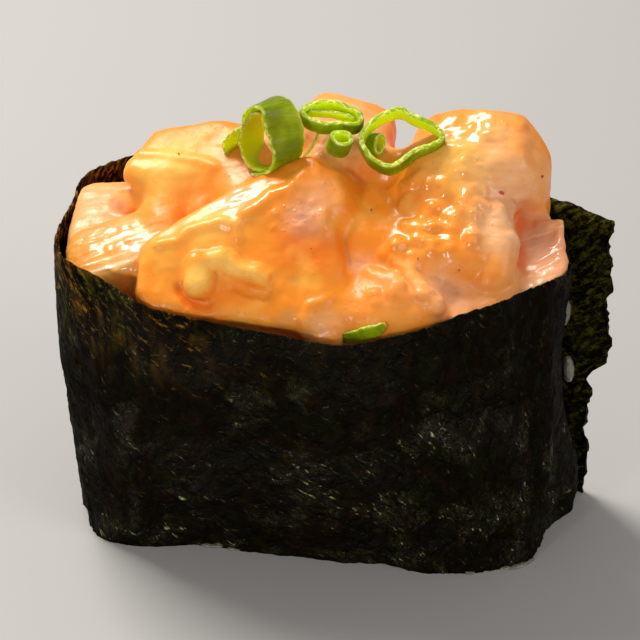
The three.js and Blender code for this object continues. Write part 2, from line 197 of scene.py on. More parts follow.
@dataclass
class Skin:
    """A surface as arrays, in millimetres, with named values at its points."""

    points: Array
    quads: Array
    triangles: Array = field(default_factory=lambda: np.empty((0, 3), dtype=int))
    values: dict[str, Array] = field(default_factory=dict)

    def normals(self) -> Array:
        """Unit normals at the points, weighted by the faces' areas.

        Returns:
            n by 3.
        """
        total = np.zeros_like(self.points)
        for faces in (self.quads, self.triangles):
            corners = self.points[faces]
            across = np.cross(corners[:, 2] - corners[:, 0], corners[:, -1] - corners[:, 1])
            for column, axis in itertools.product(range(faces.shape[1]), range(3)):
                total[:, axis] += np.bincount(faces[:, column], across[:, axis], len(self.points))
        return unit(total)

    def faced_out(self) -> Skin:
        """The closed surface of quads, turned over where its faces look inwards."""
        first, second, third = (self.points[self.quads[:, corner]] for corner in range(3))
        outward = (first - self.points.mean(axis=0)) * np.cross(second - first, third - first)
        return self if outward.sum() > 0 else replace(self, quads=self.quads[:, ::-1])

    def push(self, distance: Array) -> None:
        """Moves the points along their normals."""
        self.points = self.points + self.normals() * distance[:, None]

    def relax(self, rounds: int, share: float = 0.5) -> None:
        """Evens the surface by moving each point towards its neighbours.

        Args:
            rounds: how often every point moves.
            share: how far it goes towards the middle of its neighbours each time.
        """
        pairs = np.concatenate([self.quads[:, [i, (i + 1) % 4]] for i in range(4)])
        pairs = np.concatenate([pairs, pairs[:, ::-1]])
        total = len(self.points)
        count = np.maximum(np.bincount(pairs[:, 0], minlength=total), 1)
        for _ in range(rounds):
            near = self.points[pairs[:, 1]]
            mean = [np.bincount(pairs[:, 0], near[:, axis], total) / count for axis in range(3)]
            self.points = self.points + share * (np.stack(mean, axis=1) - self.points)

    def piece(self, name: str, material: Material, slot: Slot, *nodes: str) -> bpy.types.Object:
        """Makes the surface an object that rides on the boat.

        Args:
            name: the piece's name.
            material: its finish.
            slot: the record's slot that the finish belongs to; not used.
            nodes: the CAD nodes that it stands for.

        Returns:
            The new object.
        """
        mesh = bpy.data.meshes.new(name)
        mesh.from_pydata((self.points * MM).tolist(), [], self.quads.tolist() + self.triangles.tolist())
        mesh.polygons.foreach_set("use_smooth", np.ones(len(mesh.polygons), dtype=bool))
        for key, value in self.values.items():
            vector = value.ndim == 2
            store = mesh.attributes.new(key, "FLOAT_VECTOR" if vector else "FLOAT", "POINT")
            store.data.foreach_set("vector" if vector else "value", value.astype(np.float32).ravel())
        mesh.materials.append(material)
        mesh.update()
        piece = linked(name, mesh)
        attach(piece, "root")
        if nodes:
            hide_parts(*nodes)
        LOG.info("%s: %d points, %d faces", name, len(self.points), len(mesh.polygons))
        return piece


def grid_faces(columns: int, rows: int, closed: bool) -> Array:
    """Quads of a grid whose points run row by row within each column.

    Args:
        columns: number of columns of points.
        rows: number of points in a column.
        closed: whether the last column joins the first.

    Returns:
        An array of quads.
    """
    last = columns if closed else columns - 1
    i, j = np.meshgrid(np.arange(last), np.arange(rows - 1), indexing="ij")
    i, j, k = i.ravel(), j.ravel(), (i.ravel() + 1) % columns
    return np.stack([i * rows + j, k * rows + j, k * rows + j + 1, i * rows + j + 1], axis=1)


def joined(skins: Iterable[Skin]) -> Skin:
    """Several surfaces as one, with the values that they share.

    Args:
        skins: the surfaces.

    Returns:
        One surface.
    """
    skins = list(skins)
    bases = np.cumsum([0] + [len(skin.points) for skin in skins])
    return Skin(
        np.concatenate([skin.points for skin in skins]),
        np.concatenate([skin.quads + base for skin, base in zip(skins, bases)]),
        np.concatenate([skin.triangles + base for skin, base in zip(skins, bases)]),
        {key: np.concatenate([skin.values[key] for skin in skins]) for key in skins[0].values},
    )


def surface_net(reach: Array, origin: Array, pitch: float) -> Skin:
    """The zero surface of a field as evenly spaced quads, by dual contouring without normals.

    Args:
        reach: the field on a grid, below 0 inside and above 0 on the grid's border.
        origin: the grid's first point.
        pitch: its spacing.

    Returns:
        The closed surface, facing out.
    """
    shape = np.array(reach.shape)
    cells = shape - 1
    stride = np.array([cells[1] * cells[2], cells[2], 1])
    inside = reach < 0
    keys, spots, quads = [], [], []
    for axis in range(3):
        first = [slice(None)] * 3
        second = [slice(None)] * 3
        first[axis], second[axis] = slice(0, -1), slice(1, None)
        crossing = inside[tuple(first)] != inside[tuple(second)]
        index = np.stack(np.nonzero(crossing), axis=1)
        near = reach[tuple(first)][crossing]
        far = reach[tuple(second)][crossing]
        spot = index.astype(float)
        spot[:, axis] += near / (near - far)
        side, other = [(1, 2), (2, 0), (0, 1)][axis]
        ring = []
        for a, b in ((0, 0), (-1, 0), (-1, -1), (0, -1)):
            cell = index.copy()
            cell[:, side] += a
            cell[:, other] += b
            ring.append(cell @ stride)
            keys.append(ring[-1])
            spots.append(spot)
        ring_array = np.stack(ring, axis=1)
        leaving = near < 0
        ring_array[~leaving] = ring_array[~leaving][:, ::-1]
        quads.append(ring_array)
    key = np.concatenate(keys)
    spot = np.concatenate(spots)
    used, order = np.unique(key, return_inverse=True)
    count = np.bincount(order)
    mean = np.stack([np.bincount(order, weights=spot[:, axis]) / count for axis in range(3)], axis=1)
    faces = np.searchsorted(used, np.concatenate(quads))
    return Skin(mean * pitch + origin, faces)


# ---- the nori's course ----

# The strip seen from above, from its tucked inner end round the right end, front, left end
# and back to the free flap: rim x, rim y, foot x, foot y, height.
STRIP_COURSE = np.array([
    (12.0, 9.4, 11.5, 9.2, 31.0), (18.5, 7.2, 18.0, 7.0, 31.5), (23.6, 4.6, 23.3, 4.5, 32.5),
    (26.0, 1.0, 25.8, 1.0, 33.0), (26.8, -4.5, 25.5, -4.5, 33.0), (26.4, -8.4, 24.9, -8.6, 33.0),
    (24.4, -10.6, 22.7, -11.2, 32.9), (20.8, -12.9, 19.4, -12.9, 32.4), (16.4, -15.1, 15.4, -13.4, 31.0),
    (10.8, -16.8, 10.6, -13.3, 29.6), (4.2, -17.5, 4.4, -12.9, 28.6), (-4.0, -17.3, -4.0, -12.4, 29.4),
    (-12.0, -16.3, -12.0, -12.9, 30.2), (-18.6, -14.2, -18.0, -13.2, 31.6),
    (-23.3, -10.4, -21.5, -11.3, 32.2),
    (-25.2, -5.0, -23.0, -6.0, 32.0), (-25.5, 3.0, -23.2, 3.0, 32.0), (-24.0, 9.6, -21.8, 9.3, 32.0),
    (-20.4, 13.2, -18.9, 12.5, 32.0), (-12.0, 14.7, -11.8, 13.4, 32.4), (-2.0, 14.9, -2.0, 13.6, 33.0),
    (7.5, 13.2, 7.2, 12.4, 33.2), (16.0, 9.5, 15.9, 9.3, 33.6), (24.2, 6.0, 24.2, 6.0, 34.2),
    (31.0, 3.2, 31.8, 2.6, 33.4),
])
BOAT_CENTRE = np.array([0.0, -1.0])


class SplineCourse:
    """A centripetal Catmull-Rom curve through points, run by a share from 0 to 1."""

    def __init__(self, points: Array) -> None:
        """Keeps the points and adds one beyond each end.

        Args:
            points: the curve's points.
        """
        before = 2 * points[0] - points[1]
        after = 2 * points[-1] - points[-2]
        self.points = np.vstack([before, points, after])

    def at(self, share: Array) -> Array:
        """Points on the curve at shares of its course.

        Args:
            share: n shares of the course.

        Returns:
            n points.
        """
        spans = len(self.points) - 3
        place = np.clip(share, 0.0, 1.0) * spans
        index = np.minimum(np.floor(place).astype(int), spans - 1)
        part = (place - index)[:, None]
        a, b, c, d = (self.points[index + k] for k in range(4))
        gap = [np.sqrt(np.linalg.norm(q - p, axis=1))[:, None] for p, q in ((a, b), (b, c), (c, d))]
        leave = ((b - a) / gap[0] - (c - a) / (gap[0] + gap[1]) + (c - b) / gap[1]) * gap[1]
        arrive = ((c - b) / gap[1] - (d - b) / (gap[1] + gap[2]) + (d - c) / gap[2]) * gap[1]
        cubic = 2 * b - 2 * c + leave + arrive
        square = -3 * b + 3 * c - 2 * leave - arrive
        return b + leave * part + square * part**2 + cubic * part**3

    def heading(self, share: Array) -> Array:
        """Unit directions along the curve."""
        step = 1e-4
        return unit(self.at(share + step) - self.at(share - step))


@dataclass(frozen=True)
class Swell:
    """A bump or crease of the wall: its place and reach along the course, height and depth."""

    share: float
    reach: float
    z: float
    tall: float
    depth: float


@dataclass(frozen=True)
class StripWall:
    """The middle surface of the nori strip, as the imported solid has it.

    The wall leans from the foot's line to the rim's, more at some places of the course (ends:
    share, reach and added power), swells in folds and creases, and waves except where it is calm.
    """

    thickness: float = 0.4
    flap_start: float = 0.953
    boat_close: float = 0.886
    lean_power: float = 1.25
    over_rim: float = 0.5
    ends: tuple[tuple[float, float, float], ...] = ((0.65, 0.07, 0.9), (0.17, 0.05, -0.65))
    swells: tuple[Swell, ...] = (
        Swell(0.29, 0.055, 19.5, 1.5, -0.75),
        Swell(0.30, 0.09, 12.0, 6.0, 0.55),
        Swell(0.125, 0.024, 3.0, 8.0, 2.2),
    )
    waves: tuple[tuple[float, float, float], ...] = ((61, 0.09, 0.28), (113, -0.21, 0.16))
    calm: tuple[tuple[float, float], ...] = ((0.02, 0.1), (0.86, 0.08))
    calm_share: float = 0.75
    course_steps: int = 700
    room_steps: int = 721
    room_levels: int = 12

    @property
    def rim(self) -> SplineCourse:
        """The strip's upper edge."""
        return SplineCourse(STRIP_COURSE[:, [0, 1, 4]])

    @property
    def foot(self) -> SplineCourse:
        """The strip's lower edge."""
        return SplineCourse(np.column_stack([STRIP_COURSE[:, 2:4], np.zeros(len(STRIP_COURSE))]))

    def relief(self, share: Array, z: Array) -> Array:
        """How far the wall swells out of its plain course.

        Args:
            share: shares of the strip's course.
            z: heights above the table.

        Returns:
            Millimetres outwards.
        """
        total = sum(form.depth * bell(z, form.z, form.tall) * bell(share, form.share, form.reach)
                    for form in self.swells)
        waves = sum(depth * np.sin(share * turns + z * climb) for turns, climb, depth in self.waves)
        loose = 1 - sum(self.calm_share * bell(share, at, reach) for at, reach in self.calm)
        curl = 0.5 * smooth(share, self.flap_start, 1.0) * np.sin(z * 0.16 + 0.6)
        return total + waves * loose + curl

    def at(self, share: Array, z: Array, offset: Array | float) -> Array:
        """Points at heights on the strip, pushed outwards by an offset.

        Args:
            share: shares of the strip's course.
            z: heights above the table.
            offset: distance outwards from the middle surface.

        Returns:
            n by 3 points.
        """
        rim, foot = self.rim.at(share), self.foot.at(share)
        rise = z / rim[:, 2]
        power = self.lean_power + sum(more * bell(share, at, reach) for at, reach, more in self.ends)
        lean = 1 - (1 - np.clip(rise, 0, 1)) ** power + self.over_rim * np.maximum(0, rise - 1)
        flat = foot[:, :2] + (rim[:, :2] - foot[:, :2]) * lean[:, None]
        ahead = self.rim.heading(share)
        outward = unit(np.column_stack([-ahead[:, 1], ahead[:, 0]]))
        push = offset + self.relief(share, z)
        return np.column_stack([flat + outward * push[:, None], z])

    def room(self, x: Array, y: Array, z: Array, offset: float) -> Array:
        """Distance to the inside of the wall on a grid, below 0 inside the boat.

        The wall is measured at a few levels, as a distance from the boat's middle by direction,
        and the levels between are blended.

        Args:
            x: the grid's x values.
            y: its y values.
            z: its z values.
            offset: where the inside begins, from the middle surface.

        Returns:
            The field on the grid.
        """
        share = np.linspace(0, self.boat_close, self.course_steps)
        angles = np.linspace(-np.pi, np.pi, self.room_steps)
        gx, gy = np.meshgrid(x - BOAT_CENTRE[0], y - BOAT_CENTRE[1], indexing="ij")
        turn, away = np.arctan2(gy, gx), np.hypot(gx, gy)
        levels = np.linspace(z[0], z[-1], self.room_levels)
        layers = []
        for level in levels:
            wall = self.at(share, np.full_like(share, level), offset)[:, :2] - BOAT_CENTRE
            theta, rho = np.arctan2(wall[:, 1], wall[:, 0]), np.hypot(wall[:, 0], wall[:, 1])
            order = np.argsort(theta)
            around = np.interp(angles, theta[order], rho[order], period=2 * np.pi)
            slope = np.gradient(around, angles) / around
            reach = np.interp(turn, angles, around)
            straight = 1 / np.sqrt(1 + np.interp(turn, angles, slope) ** 2)
            layers.append((away - reach) * straight)
        stack = np.stack(layers, axis=2)
        place = np.clip((z - levels[0]) / (levels[1] - levels[0]), 0, len(levels) - 1.001)
        low = place.astype(int)
        part = place - low
        return (stack[:, :, low] * (1 - part) + stack[:, :, low + 1] * part).astype(np.float32)


WALL = StripWall()


# ---- materials ----


class Value:
    """A number that runs through the nodes of a finish, written like a Python number."""

    def __init__(self, finish: Nodes, socket: Socket) -> None:
        """Keeps the socket and the finish that it belongs to."""
        self.finish = finish
        self.socket = socket

    def _with(self, kind: str, *others: Value | float, clamp: bool = False) -> Value:
        """A Math node over this value and others."""
        return self.finish.maths(kind, self, *others, clamp=clamp)

    def __add__(self, other: Value | float) -> Value:
        """Sum."""
        return self._with("ADD", other)

    __radd__ = __add__

    def __sub__(self, other: Value | float) -> Value:
        """Difference."""
        return self._with("SUBTRACT", other)

    def __rsub__(self, other: float) -> Value:
        """Difference from a number."""
        return self.finish.maths("SUBTRACT", other, self)

    def __mul__(self, other: Value | float) -> Value:
        """Product."""
        return self._with("MULTIPLY", other)

    __rmul__ = __mul__

    def clamped(self) -> Value:
        """Held between 0 and 1."""
        return self._with("ADD", 0.0, clamp=True)

    def between(self, low: float, high: float) -> Value:
        """Eased from 0 at low to 1 at high; low may be above high.

        Args:
            low: where it is 0.
            high: where it is 1.

        Returns:
            The eased value.
        """
        first, last = (0.0, 1.0) if low < high else (1.0, 0.0)
        node = self.finish.add(
            "ShaderNodeMapRange",
            {"interpolation_type": "SMOOTHSTEP"},
            {0: self, 1: min(low, high), 2: max(low, high), 3: first, 4: last},
        )
        return Value(self.finish, node.outputs[0])


Feed = Value | float | Sequence[float] | Socket


class Nodes:
    """A finish being wired: one material, its Principled shader and the nodes that feed it."""

    def __init__(self, name: str, **settings: float | Sequence[float]) -> None:
        """Starts a material.

        Args:
            name: the material's name.
            settings: what the Principled shader starts with, as feed takes it.
        """
        self.material = bpy.data.materials.new(name)
        self.material.use_nodes = True
        self.tree = self.material.node_tree
        self.shader = self.tree.nodes["Principled BSDF"]
        self.feed(**settings)

    def add(self, kind: str, settings: Mapping[str, object],
            feeds: Mapping[int | str, Feed]) -> bpy.types.Node:
        """Adds a node.

        Args:
            kind: the node's type.
            settings: its properties, set before its sockets; "stops" gives a ramp's stops.
            feeds: values or links of its inputs, by index or name.

        Returns:
            The node.
        """
        node = self.tree.nodes.new(kind)
        for key, value in settings.items():
            if key == "stops":
                self._ramp(node, value)
            else:
                setattr(node, key, value)
        for key, feed in feeds.items():
            self.link(feed, node.inputs[key])
        return node

    @staticmethod
    def _ramp(node: bpy.types.Node, stops: Sequence[tuple[float, Colour]]) -> None:
        """Sets a colour ramp's stops.

        Args:
            node: the ramp.
            stops: each stop's place and colour.
        """
        elements = node.color_ramp.elements
        while len(elements) < len(stops):
            elements.new(1.0)
        for element, (place, colour) in zip(elements, stops):
            element.position = place
            element.color = (*colour, 1.0)

    def link(self, feed: Feed, socket: Socket) -> None:
        """Sets or links one input.

        Args:
            feed: a value, a colour or a socket to link.
            socket: the input.
        """
        if isinstance(feed, Value):
            feed = feed.socket
        if isinstance(feed, Socket):
            self.tree.links.new(feed, socket)
        elif isinstance(feed, (tuple, list)) and len(feed) == 3 and socket.type == "RGBA":
            socket.default_value = (*feed, 1.0)
        else:
            socket.default_value = feed

    def maths(self, kind: str, *terms: Value | float, clamp: bool = False) -> Value:
        """A Math node of a kind over terms."""
        node = self.add("ShaderNodeMath", {"operation": kind, "use_clamp": clamp}, dict(enumerate(terms)))
        return Value(self, node.outputs[0])

    def attribute(self, name: str) -> Value:
        """A number kept at the mesh's points."""
        return Value(self, self.add("ShaderNodeAttribute", {"attribute_name": name}, {}).outputs["Fac"])

    def place(self, name: str | None = None,
              scale: Sequence[float] = (1.0, 1.0, 1.0)) -> Socket:
        """Coordinates in millimetres, stretched.

        Args:
            name: a vector kept at the mesh's points, or None for the object's own space.
            scale: factor on each axis.

        Returns:
            The vector socket.
        """
        if name:
            source = self.add("ShaderNodeAttribute", {"attribute_name": name}, {}).outputs["Vector"]
            factor = tuple(scale)
        else:
            source = self.add("ShaderNodeTexCoord", {}, {}).outputs["Object"]
            factor = tuple(value / MM for value in scale)
        node = self.add("ShaderNodeVectorMath", {"operation": "MULTIPLY"}, {0: source, 1: factor})
        return node.outputs[0]

    def noise(self, place: Socket, scale: float, detail: float = 3.0,
              rough: float = 0.5, twist: float = 0.0) -> Value:
        """Layered noise.

        Args:
            place: where it is read.
            scale: its cells in a millimetre.
            detail: its octaves.
            rough: how strong the fine octaves are.
            twist: how far it is bent by itself.

        Returns:
            A number, about 0 to 1.
        """
        node = self.add(
            "ShaderNodeTexNoise",
            {"noise_type": "FBM"},
            {"Vector": place, "Scale": scale, "Detail": detail, "Roughness": rough, "Distortion": twist},
        )
        return Value(self, node.outputs["Fac"])

    def cells(self, place: Socket, scale: float, random: float = 1.0) -> Value:
        """Distance to scattered points, which lie about 1 / scale millimetres apart."""
        feeds: dict[int | str, Feed] = {"Vector": place, "Scale": scale, "Randomness": random}
        return Value(self, self.add("ShaderNodeTexVoronoi", {"feature": "F1"}, feeds).outputs["Distance"])

    def mix(self, share: Feed, low: Feed, high: Feed) -> Socket:
        """Two colours mixed, by how much of the second one shows."""
        return self.add("ShaderNodeMix", {"data_type": "RGBA"}, {0: share, 6: low, 7: high}).outputs[2]

    def ramp(self, share: Value, stops: Sequence[tuple[float, Colour]]) -> Socket:
        """A colour read from stops."""
        return self.add("ShaderNodeValToRGB", {"stops": stops}, {0: share}).outputs[0]

    def bump(self, height: Value, strength: float, distance: float,
             below: Socket | None = None) -> Socket:
        """A normal from a height.

        Args:
            height: the height, about 0 to 1.
            strength: how much of it shows.
            distance: what a height of 1 stands for, in millimetres.
            below: the normal that it is laid over.

        Returns:
            The normal socket.
        """
        feeds: dict[int | str, Feed] = {"Height": height, "Strength": strength, "Distance": distance * MM}
        if below is not None:
            feeds["Normal"] = below
        return self.add("ShaderNodeBump", {}, feeds).outputs[0]

    def glaze(self, share: Value, **settings: Feed) -> None:
        """Mixes a second Principled shader over the first one, by a share.

        Args:
            share: how much of the second one shows.
            settings: its values and links, as feed takes them.
        """
        over = self.add("ShaderNodeBsdfPrincipled", {}, {})
        self.feed(over, **settings)
        mixed = self.add("ShaderNodeMixShader", {}, {0: share})
        self.tree.links.new(self.shader.outputs[0], mixed.inputs[1])
        self.tree.links.new(over.outputs[0], mixed.inputs[2])
        self.tree.links.new(mixed.outputs[0], self.tree.nodes["Material Output"].inputs["Surface"])

    def feed(self, shader: bpy.types.Node | None = None, **links: Feed) -> None:
        """Sets or links inputs of a shader, the first one if none is given, with _ for spaces."""
        for key, value in links.items():
            self.link(value, (shader or self.shader).inputs[key.replace("_", " ")])


def shaded(colour: Colour, factor: float) -> Colour:
    """A lighter or darker shade of a colour."""
    return tuple(value * factor for value in colour)


@dataclass(frozen=True)
class SauceFinish:
    """Creamy orange chilli sauce over raw fish, thick in the hollows and thin on the ridges, with shade
    painted into the hollows.
    """

    sauce: Colour = (0.94, 0.285, 0.018)
    # deep: the painted shade colour for hollows and shaded places, partly deeper sauce
    deep: Colour = (0.88, 0.20, 0.010)
    cream: Colour = (0.97, 0.41, 0.055)
    flesh: Colour = (0.88, 0.42, 0.17)
    fibre: Colour = (0.92, 0.53, 0.25)
    # thread: pale threads of flesh, partly painted highlight streaks along the ribs
    thread: Colour = (0.96, 0.70, 0.42)
    blush: Colour = (0.70, 0.29, 0.18)
    herb: Colour = (0.40, 0.34, 0.13)
    # thick: thick sauce, also painted light where faces are brightened
    thick: Colour = (1.0, 0.54, 0.10)
    chilli: Colour = (0.55, 0.06, 0.01)

    def build(self) -> Material:
        """Wires the finish.

        Returns:
            The material.
        """
        nodes = Nodes(
            "sauced_fish", Subsurface_Weight=0.24, Subsurface_Scale=1.0 * MM,
            Subsurface_Radius=(1.0, 0.58, 0.26), IOR=1.45, Specular_IOR_Level=0.34, Coat_Roughness=0.12,
        )
        coat, hollow, bare, blushed = (nodes.attribute(key) for key in ("coat", "hollow", "bare", "blush"))
        shade, ribs, froth, cream = (nodes.attribute(key) for key in ("shade", "ribs", "froth", "cream"))
        space = nodes.place()
        patchy = nodes.noise(space, 0.35, 3.0, 0.55)
        strands = nodes.noise(nodes.place("grain", (0.16, 0.8, 0.8)), 0.9, 3.0, 0.5, 0.9)
        threads = nodes.noise(nodes.place("grain", (0.07, 1.1, 1.1)), 1.1, 3.0, 0.6, 0.5)
        # raw flesh, with its strands and blushes
        flesh = nodes.mix(strands.between(0.35, 0.75), self.flesh, self.fibre)
        flesh = nodes.mix(blushed * (0.55 + patchy * 0.6), flesh, self.blush)
        # sauce: painted shade darkens it in the hollows and shaded places, where it also lies deeper; paler
        # in patches away from the hollows, and paler where it is thick and where light is painted on
        tone = nodes.mix((hollow * 0.55 + shade).between(0.1, 0.9), self.sauce, self.deep)
        tone = nodes.mix(nodes.noise(space, 0.22, 2.0).between(0.45, 0.75) * (1 - hollow), tone, self.cream)
        tone = nodes.mix((cream * (0.75 + patchy * 0.5)).clamped(), tone, self.thick)
        # the sauce over the flesh, with pale threads that partly stand in for painted highlight streaks,
        # slips of herb and flecks of chilli
        cover = (coat + (patchy - 0.5) * 0.45 - bare * (0.8 + (strands - 0.5) * 0.5)).clamped()
        colour = nodes.mix(cover.between(0.05, 0.85), flesh, tone)
        colour = nodes.mix(threads.between(0.54, 0.68) * ribs * 1.3, colour, self.thread)
        colour = nodes.mix((shade * -0.8).clamped(), colour, self.herb)
        sparse = nodes.noise(space, 0.4, 1.0).between(0.5, 0.62)
        colour = nodes.mix(nodes.cells(space, 0.8).between(0.1, 0.04) * sparse * 0.4, colour, self.chilli)
        # a soft skin, strands and threads of the flesh, froth and small bubbles
        normal = nodes.bump(nodes.noise(space, 0.5, 2.0, 0.4), 0.3, 0.35)
        normal = nodes.bump(strands * (bare * 0.5 + ribs + 0.06), 0.4, 0.25, normal)
        normal = nodes.bump(threads * ribs, 0.5, 0.25, normal)
        normal = nodes.bump(nodes.noise(space, 0.55, 1.0, 0.4) * froth, 1.0, 0.32, normal)
        bubbles = nodes.cells(space, 1.5).between(0.34, 0.08)
        bubbles = bubbles * nodes.noise(space, 0.3, 2.0).between(0.5, 0.58)
        normal = nodes.bump(bubbles * (froth * 0.4 + 0.2), 0.6, 0.2, normal)
        roughness = 0.31 + (patchy - 0.5) * 0.3 + bare * 0.2 + ribs * 0.12 - froth * 0.2
        roughness = roughness + shade * 0.25 + cream * 0.08
        nodes.feed(
            Base_Color=colour,
            Roughness=roughness.clamped(),
            Coat_Weight=(froth * 0.8 + ribs * 1.2 + 0.03).clamped(),
            Normal=normal,
        )
        return nodes.material


@dataclass(frozen=True)
class NoriFinish:
    """Toasted seaweed: near black, with olive thin spots, a painted amber glow of light from behind near the
    rim, fibres and small glints that are partly painted into its colour.
    """

    black: Colour = (0.0034, 0.0026, 0.0014)
    green: Colour = (0.0060, 0.0070, 0.0016)
    brown: Colour = (0.011, 0.0055, 0.0022)
    olive: Colour = (0.085, 0.080, 0.006)
    # amber: colour of the painted glow of light from behind
    amber: Colour = (0.32, 0.14, 0.013)
    # spark: colour of the painted glints
    spark: Colour = (0.50, 0.50, 0.18)

    def build(self) -> Material:
        """Wires the finish.

        Returns:
            The material.
        """
        nodes = Nodes("nori", IOR=1.45, Specular_IOR_Level=0.02)
        sheet, fibre = nodes.place("sheet"), nodes.place("fibre")
        dashed = nodes.place("fibre", (0.4, 1.0, 1.0))
        flap, lit, glints = nodes.attribute("flap"), nodes.attribute("lit"), nodes.attribute("glints")
        clouds = nodes.noise(sheet, 0.3, 5.0, 0.62, 0.6)
        colour = nodes.ramp(clouds, [(0.32, self.brown), (0.5, self.black), (0.68, self.green)])
        # thin olive spots, turned amber and more common where a glow of light from behind is painted along
        # the lit rim
        warm = nodes.noise(sheet, 0.14, 2.0).between(0.35, 0.6) * (0.3 + lit * 0.7) * (1 - flap)
        light = nodes.mix(warm, self.olive, self.amber)
        thin = nodes.noise(dashed, 1.7, 8.0, 0.72, 0.5)
        thin_mask = (thin + flap * 0.09 + lit * 0.11 - glints * 0.02).between(0.615, 0.73)
        colour = nodes.mix(thin_mask * 0.9, colour, light)
        # fibres and fine crumples
        threads = nodes.noise(nodes.place("fibre", (0.3, 1.0, 1.0)), 2.4, 5.0, 0.65, 1.2)
        normal = nodes.bump(nodes.noise(fibre, 0.7, 2.5, 0.55, 0.6), 1.0, 1.1)
        normal = nodes.bump(threads, 0.4, 0.03, normal)
        # clusters of olive dashes and bright glints, mostly low on the wall; the glints are painted
        # highlights in the colour, glossy as well
        clusters = (nodes.noise(sheet, 0.2, 3.0, 0.6, 0.5) + glints * 0.07).between(0.54, 0.7)
        dashes = nodes.noise(nodes.place("fibre", (0.55, 1.0, 1.0)), 1.9, 5.0, 0.7, 1.2)
        sparks = nodes.noise(dashed, 1.7, 3.0, 0.55, 0.5).between(0.62, 0.72)
        sparks = sparks * (clusters * clusters * 1.8 + 0.05).clamped() * (0.3 + glints * 0.7)
        colour = nodes.mix(clusters * dashes.between(0.48, 0.66) * 0.35, colour, self.olive)
        # painted glow of light through the sheet along the lit rim
        glow = nodes.noise(nodes.place("sheet", (1.0, 0.45, 1.0)), 0.5, 4.0, 0.6, 0.4)
        colour = nodes.mix(glow.between(0.45, 0.72) * lit * 0.4, colour, light)
        colour = nodes.mix(sparks * 0.7, colour, self.spark)
        sheen = nodes.noise(sheet, 0.13, 3.0, 0.6, 0.4).between(0.44, 0.62)
        gloss = clusters * clusters * 0.15 + sparks * 0.9 + sheen * 0.06 + (clouds - 0.42) * 0.06
        nodes.feed(Base_Color=colour, Roughness=(0.62 + (clouds - 0.5) * 0.4).clamped(), Normal=normal)
        nodes.glaze(gloss.clamped(), Base_Color=colour, Roughness=0.14, Specular_IOR_Level=0.7, Normal=normal)
        return nodes.material


@dataclass(frozen=True)
class OnionFinish:
    """Cut spring onion leaf: green outside, yellow-green inside that is partly painted light, brightened as
    if lit through the wall, and pale ridged cut edges.
    """

    outer: Colour = (0.15, 0.20, 0.001)
    # inner: yellow-green, partly painted light that brightens the shaded inside
    inner: Colour = (0.60, 0.78, 0.003)
    cut: Colour = (0.30, 0.40, 0.02)
    pale: Colour = (0.72, 0.76, 0.28)

    def build(self) -> Material:
        """Wires the finish.

        Returns:
            The material.
        """
        nodes = Nodes(
            "spring_onion", Subsurface_Weight=0.85, Subsurface_Scale=1.6 * MM,
            Subsurface_Radius=(0.9, 1.0, 0.12), IOR=1.42, Specular_IOR_Level=0.2, Coat_Roughness=0.16,
            Coat_Weight=0.03,
        )
        inside, cut = nodes.attribute("inside"), nodes.attribute("cut")
        veins = nodes.noise(nodes.place("vein", (1.0, 0.12, 1.0)), 2.6, 3.0, 0.6)
        tint = nodes.noise(nodes.place(), 0.35, 3.0)
        outer = nodes.mix(tint.between(0.35, 0.7), self.outer, shaded(self.outer, 1.9))
        colour = nodes.mix(inside, outer, self.inner)
        colour = nodes.mix(veins.between(0.5, 0.75) * 0.08, colour, self.pale)
        colour = nodes.mix(cut * 0.9, colour, nodes.mix(veins.between(0.46, 0.62), self.cut, self.pale))
        nodes.feed(
            Base_Color=colour,
            Roughness=(0.26 + cut * 0.15).clamped(),
            Normal=nodes.bump(veins, 0.6, 0.2),
        )
        return nodes.material


@dataclass(frozen=True)
class RiceFinish:
    """Cooked, pressed rice."""

    white: Colour = (0.78, 0.74, 0.66)

    def build(self) -> Material:
        """Wires the finish.

        Returns:
            The material.
        """
        nodes = Nodes(
            "rice", Subsurface_Weight=0.4, Subsurface_Scale=1.5 * MM, Subsurface_Radius=(1.0, 0.8, 0.6),
            Coat_Weight=0.4, Coat_Roughness=0.15,
        )
        space = nodes.place()
        grains = nodes.cells(space, 0.42, random=0.8)
        tone = nodes.noise(space, 0.5, 3.0)
        colour = nodes.mix(tone, self.white, shaded(self.white, 0.8))
        nodes.feed(Base_Color=colour, Roughness=(0.45 + (tone - 0.5) * 0.3).clamped(),
                   Normal=nodes.bump(grains, 0.6, 0.8))
        return nodes.material


@dataclass(frozen=True)
class GlueFinish:
    """Crushed rice gone glassy, as it glues a strip shut."""

    clear: Colour = (0.17, 0.15, 0.11)
    cloudy: Colour = (0.23, 0.21, 0.16)

    def build(self) -> Material:
        """Wires the finish.

        Returns:
            The material.
        """
        nodes = Nodes("rice_glue", Subsurface_Weight=0.3, Subsurface_Scale=1.0 * MM, Coat_Roughness=0.08)
        space = nodes.place()
        cloud = nodes.noise(space, 0.9, 4.0, 0.6)
        nodes.feed(
            Base_Color=nodes.mix(cloud.between(0.42, 0.66), self.clear, self.cloudy),
            Roughness=(0.25 + cloud * 0.3).clamped(),
            Coat_Weight=(0.4 + cloud * 0.5).clamped(),
            Normal=nodes.bump(nodes.noise(space, 1.6, 3.0), 0.6, 0.3),
        )
        return nodes.material


@dataclass(frozen=True)
class ChilliFinish:
    """Flakes of dried red chilli, wet with sauce."""

    red: Colour = (0.62, 0.06, 0.008)
    dark: Colour = (0.28, 0.04, 0.008)

    def build(self) -> Material:
        """Wires the finish.

        Returns:
            The material.
        """
        nodes = Nodes("chilli_flake", Coat_Roughness=0.15)
        tone = nodes.noise(nodes.place(), 0.5, 3.0)
        nodes.feed(Base_Color=nodes.mix(tone.between(0.4, 0.6), self.red, self.dark),
                   Roughness=(0.3 + tone * 0.3).clamped(), Coat_Weight=tone * 0.8)
        return nodes.material


# ---- the sauced fish ----


# The field's value far from any form, in millimetres, and the least steepness by which a gauge
# is turned into a distance.
FAR = 4.0
FLATTEST = 0.02


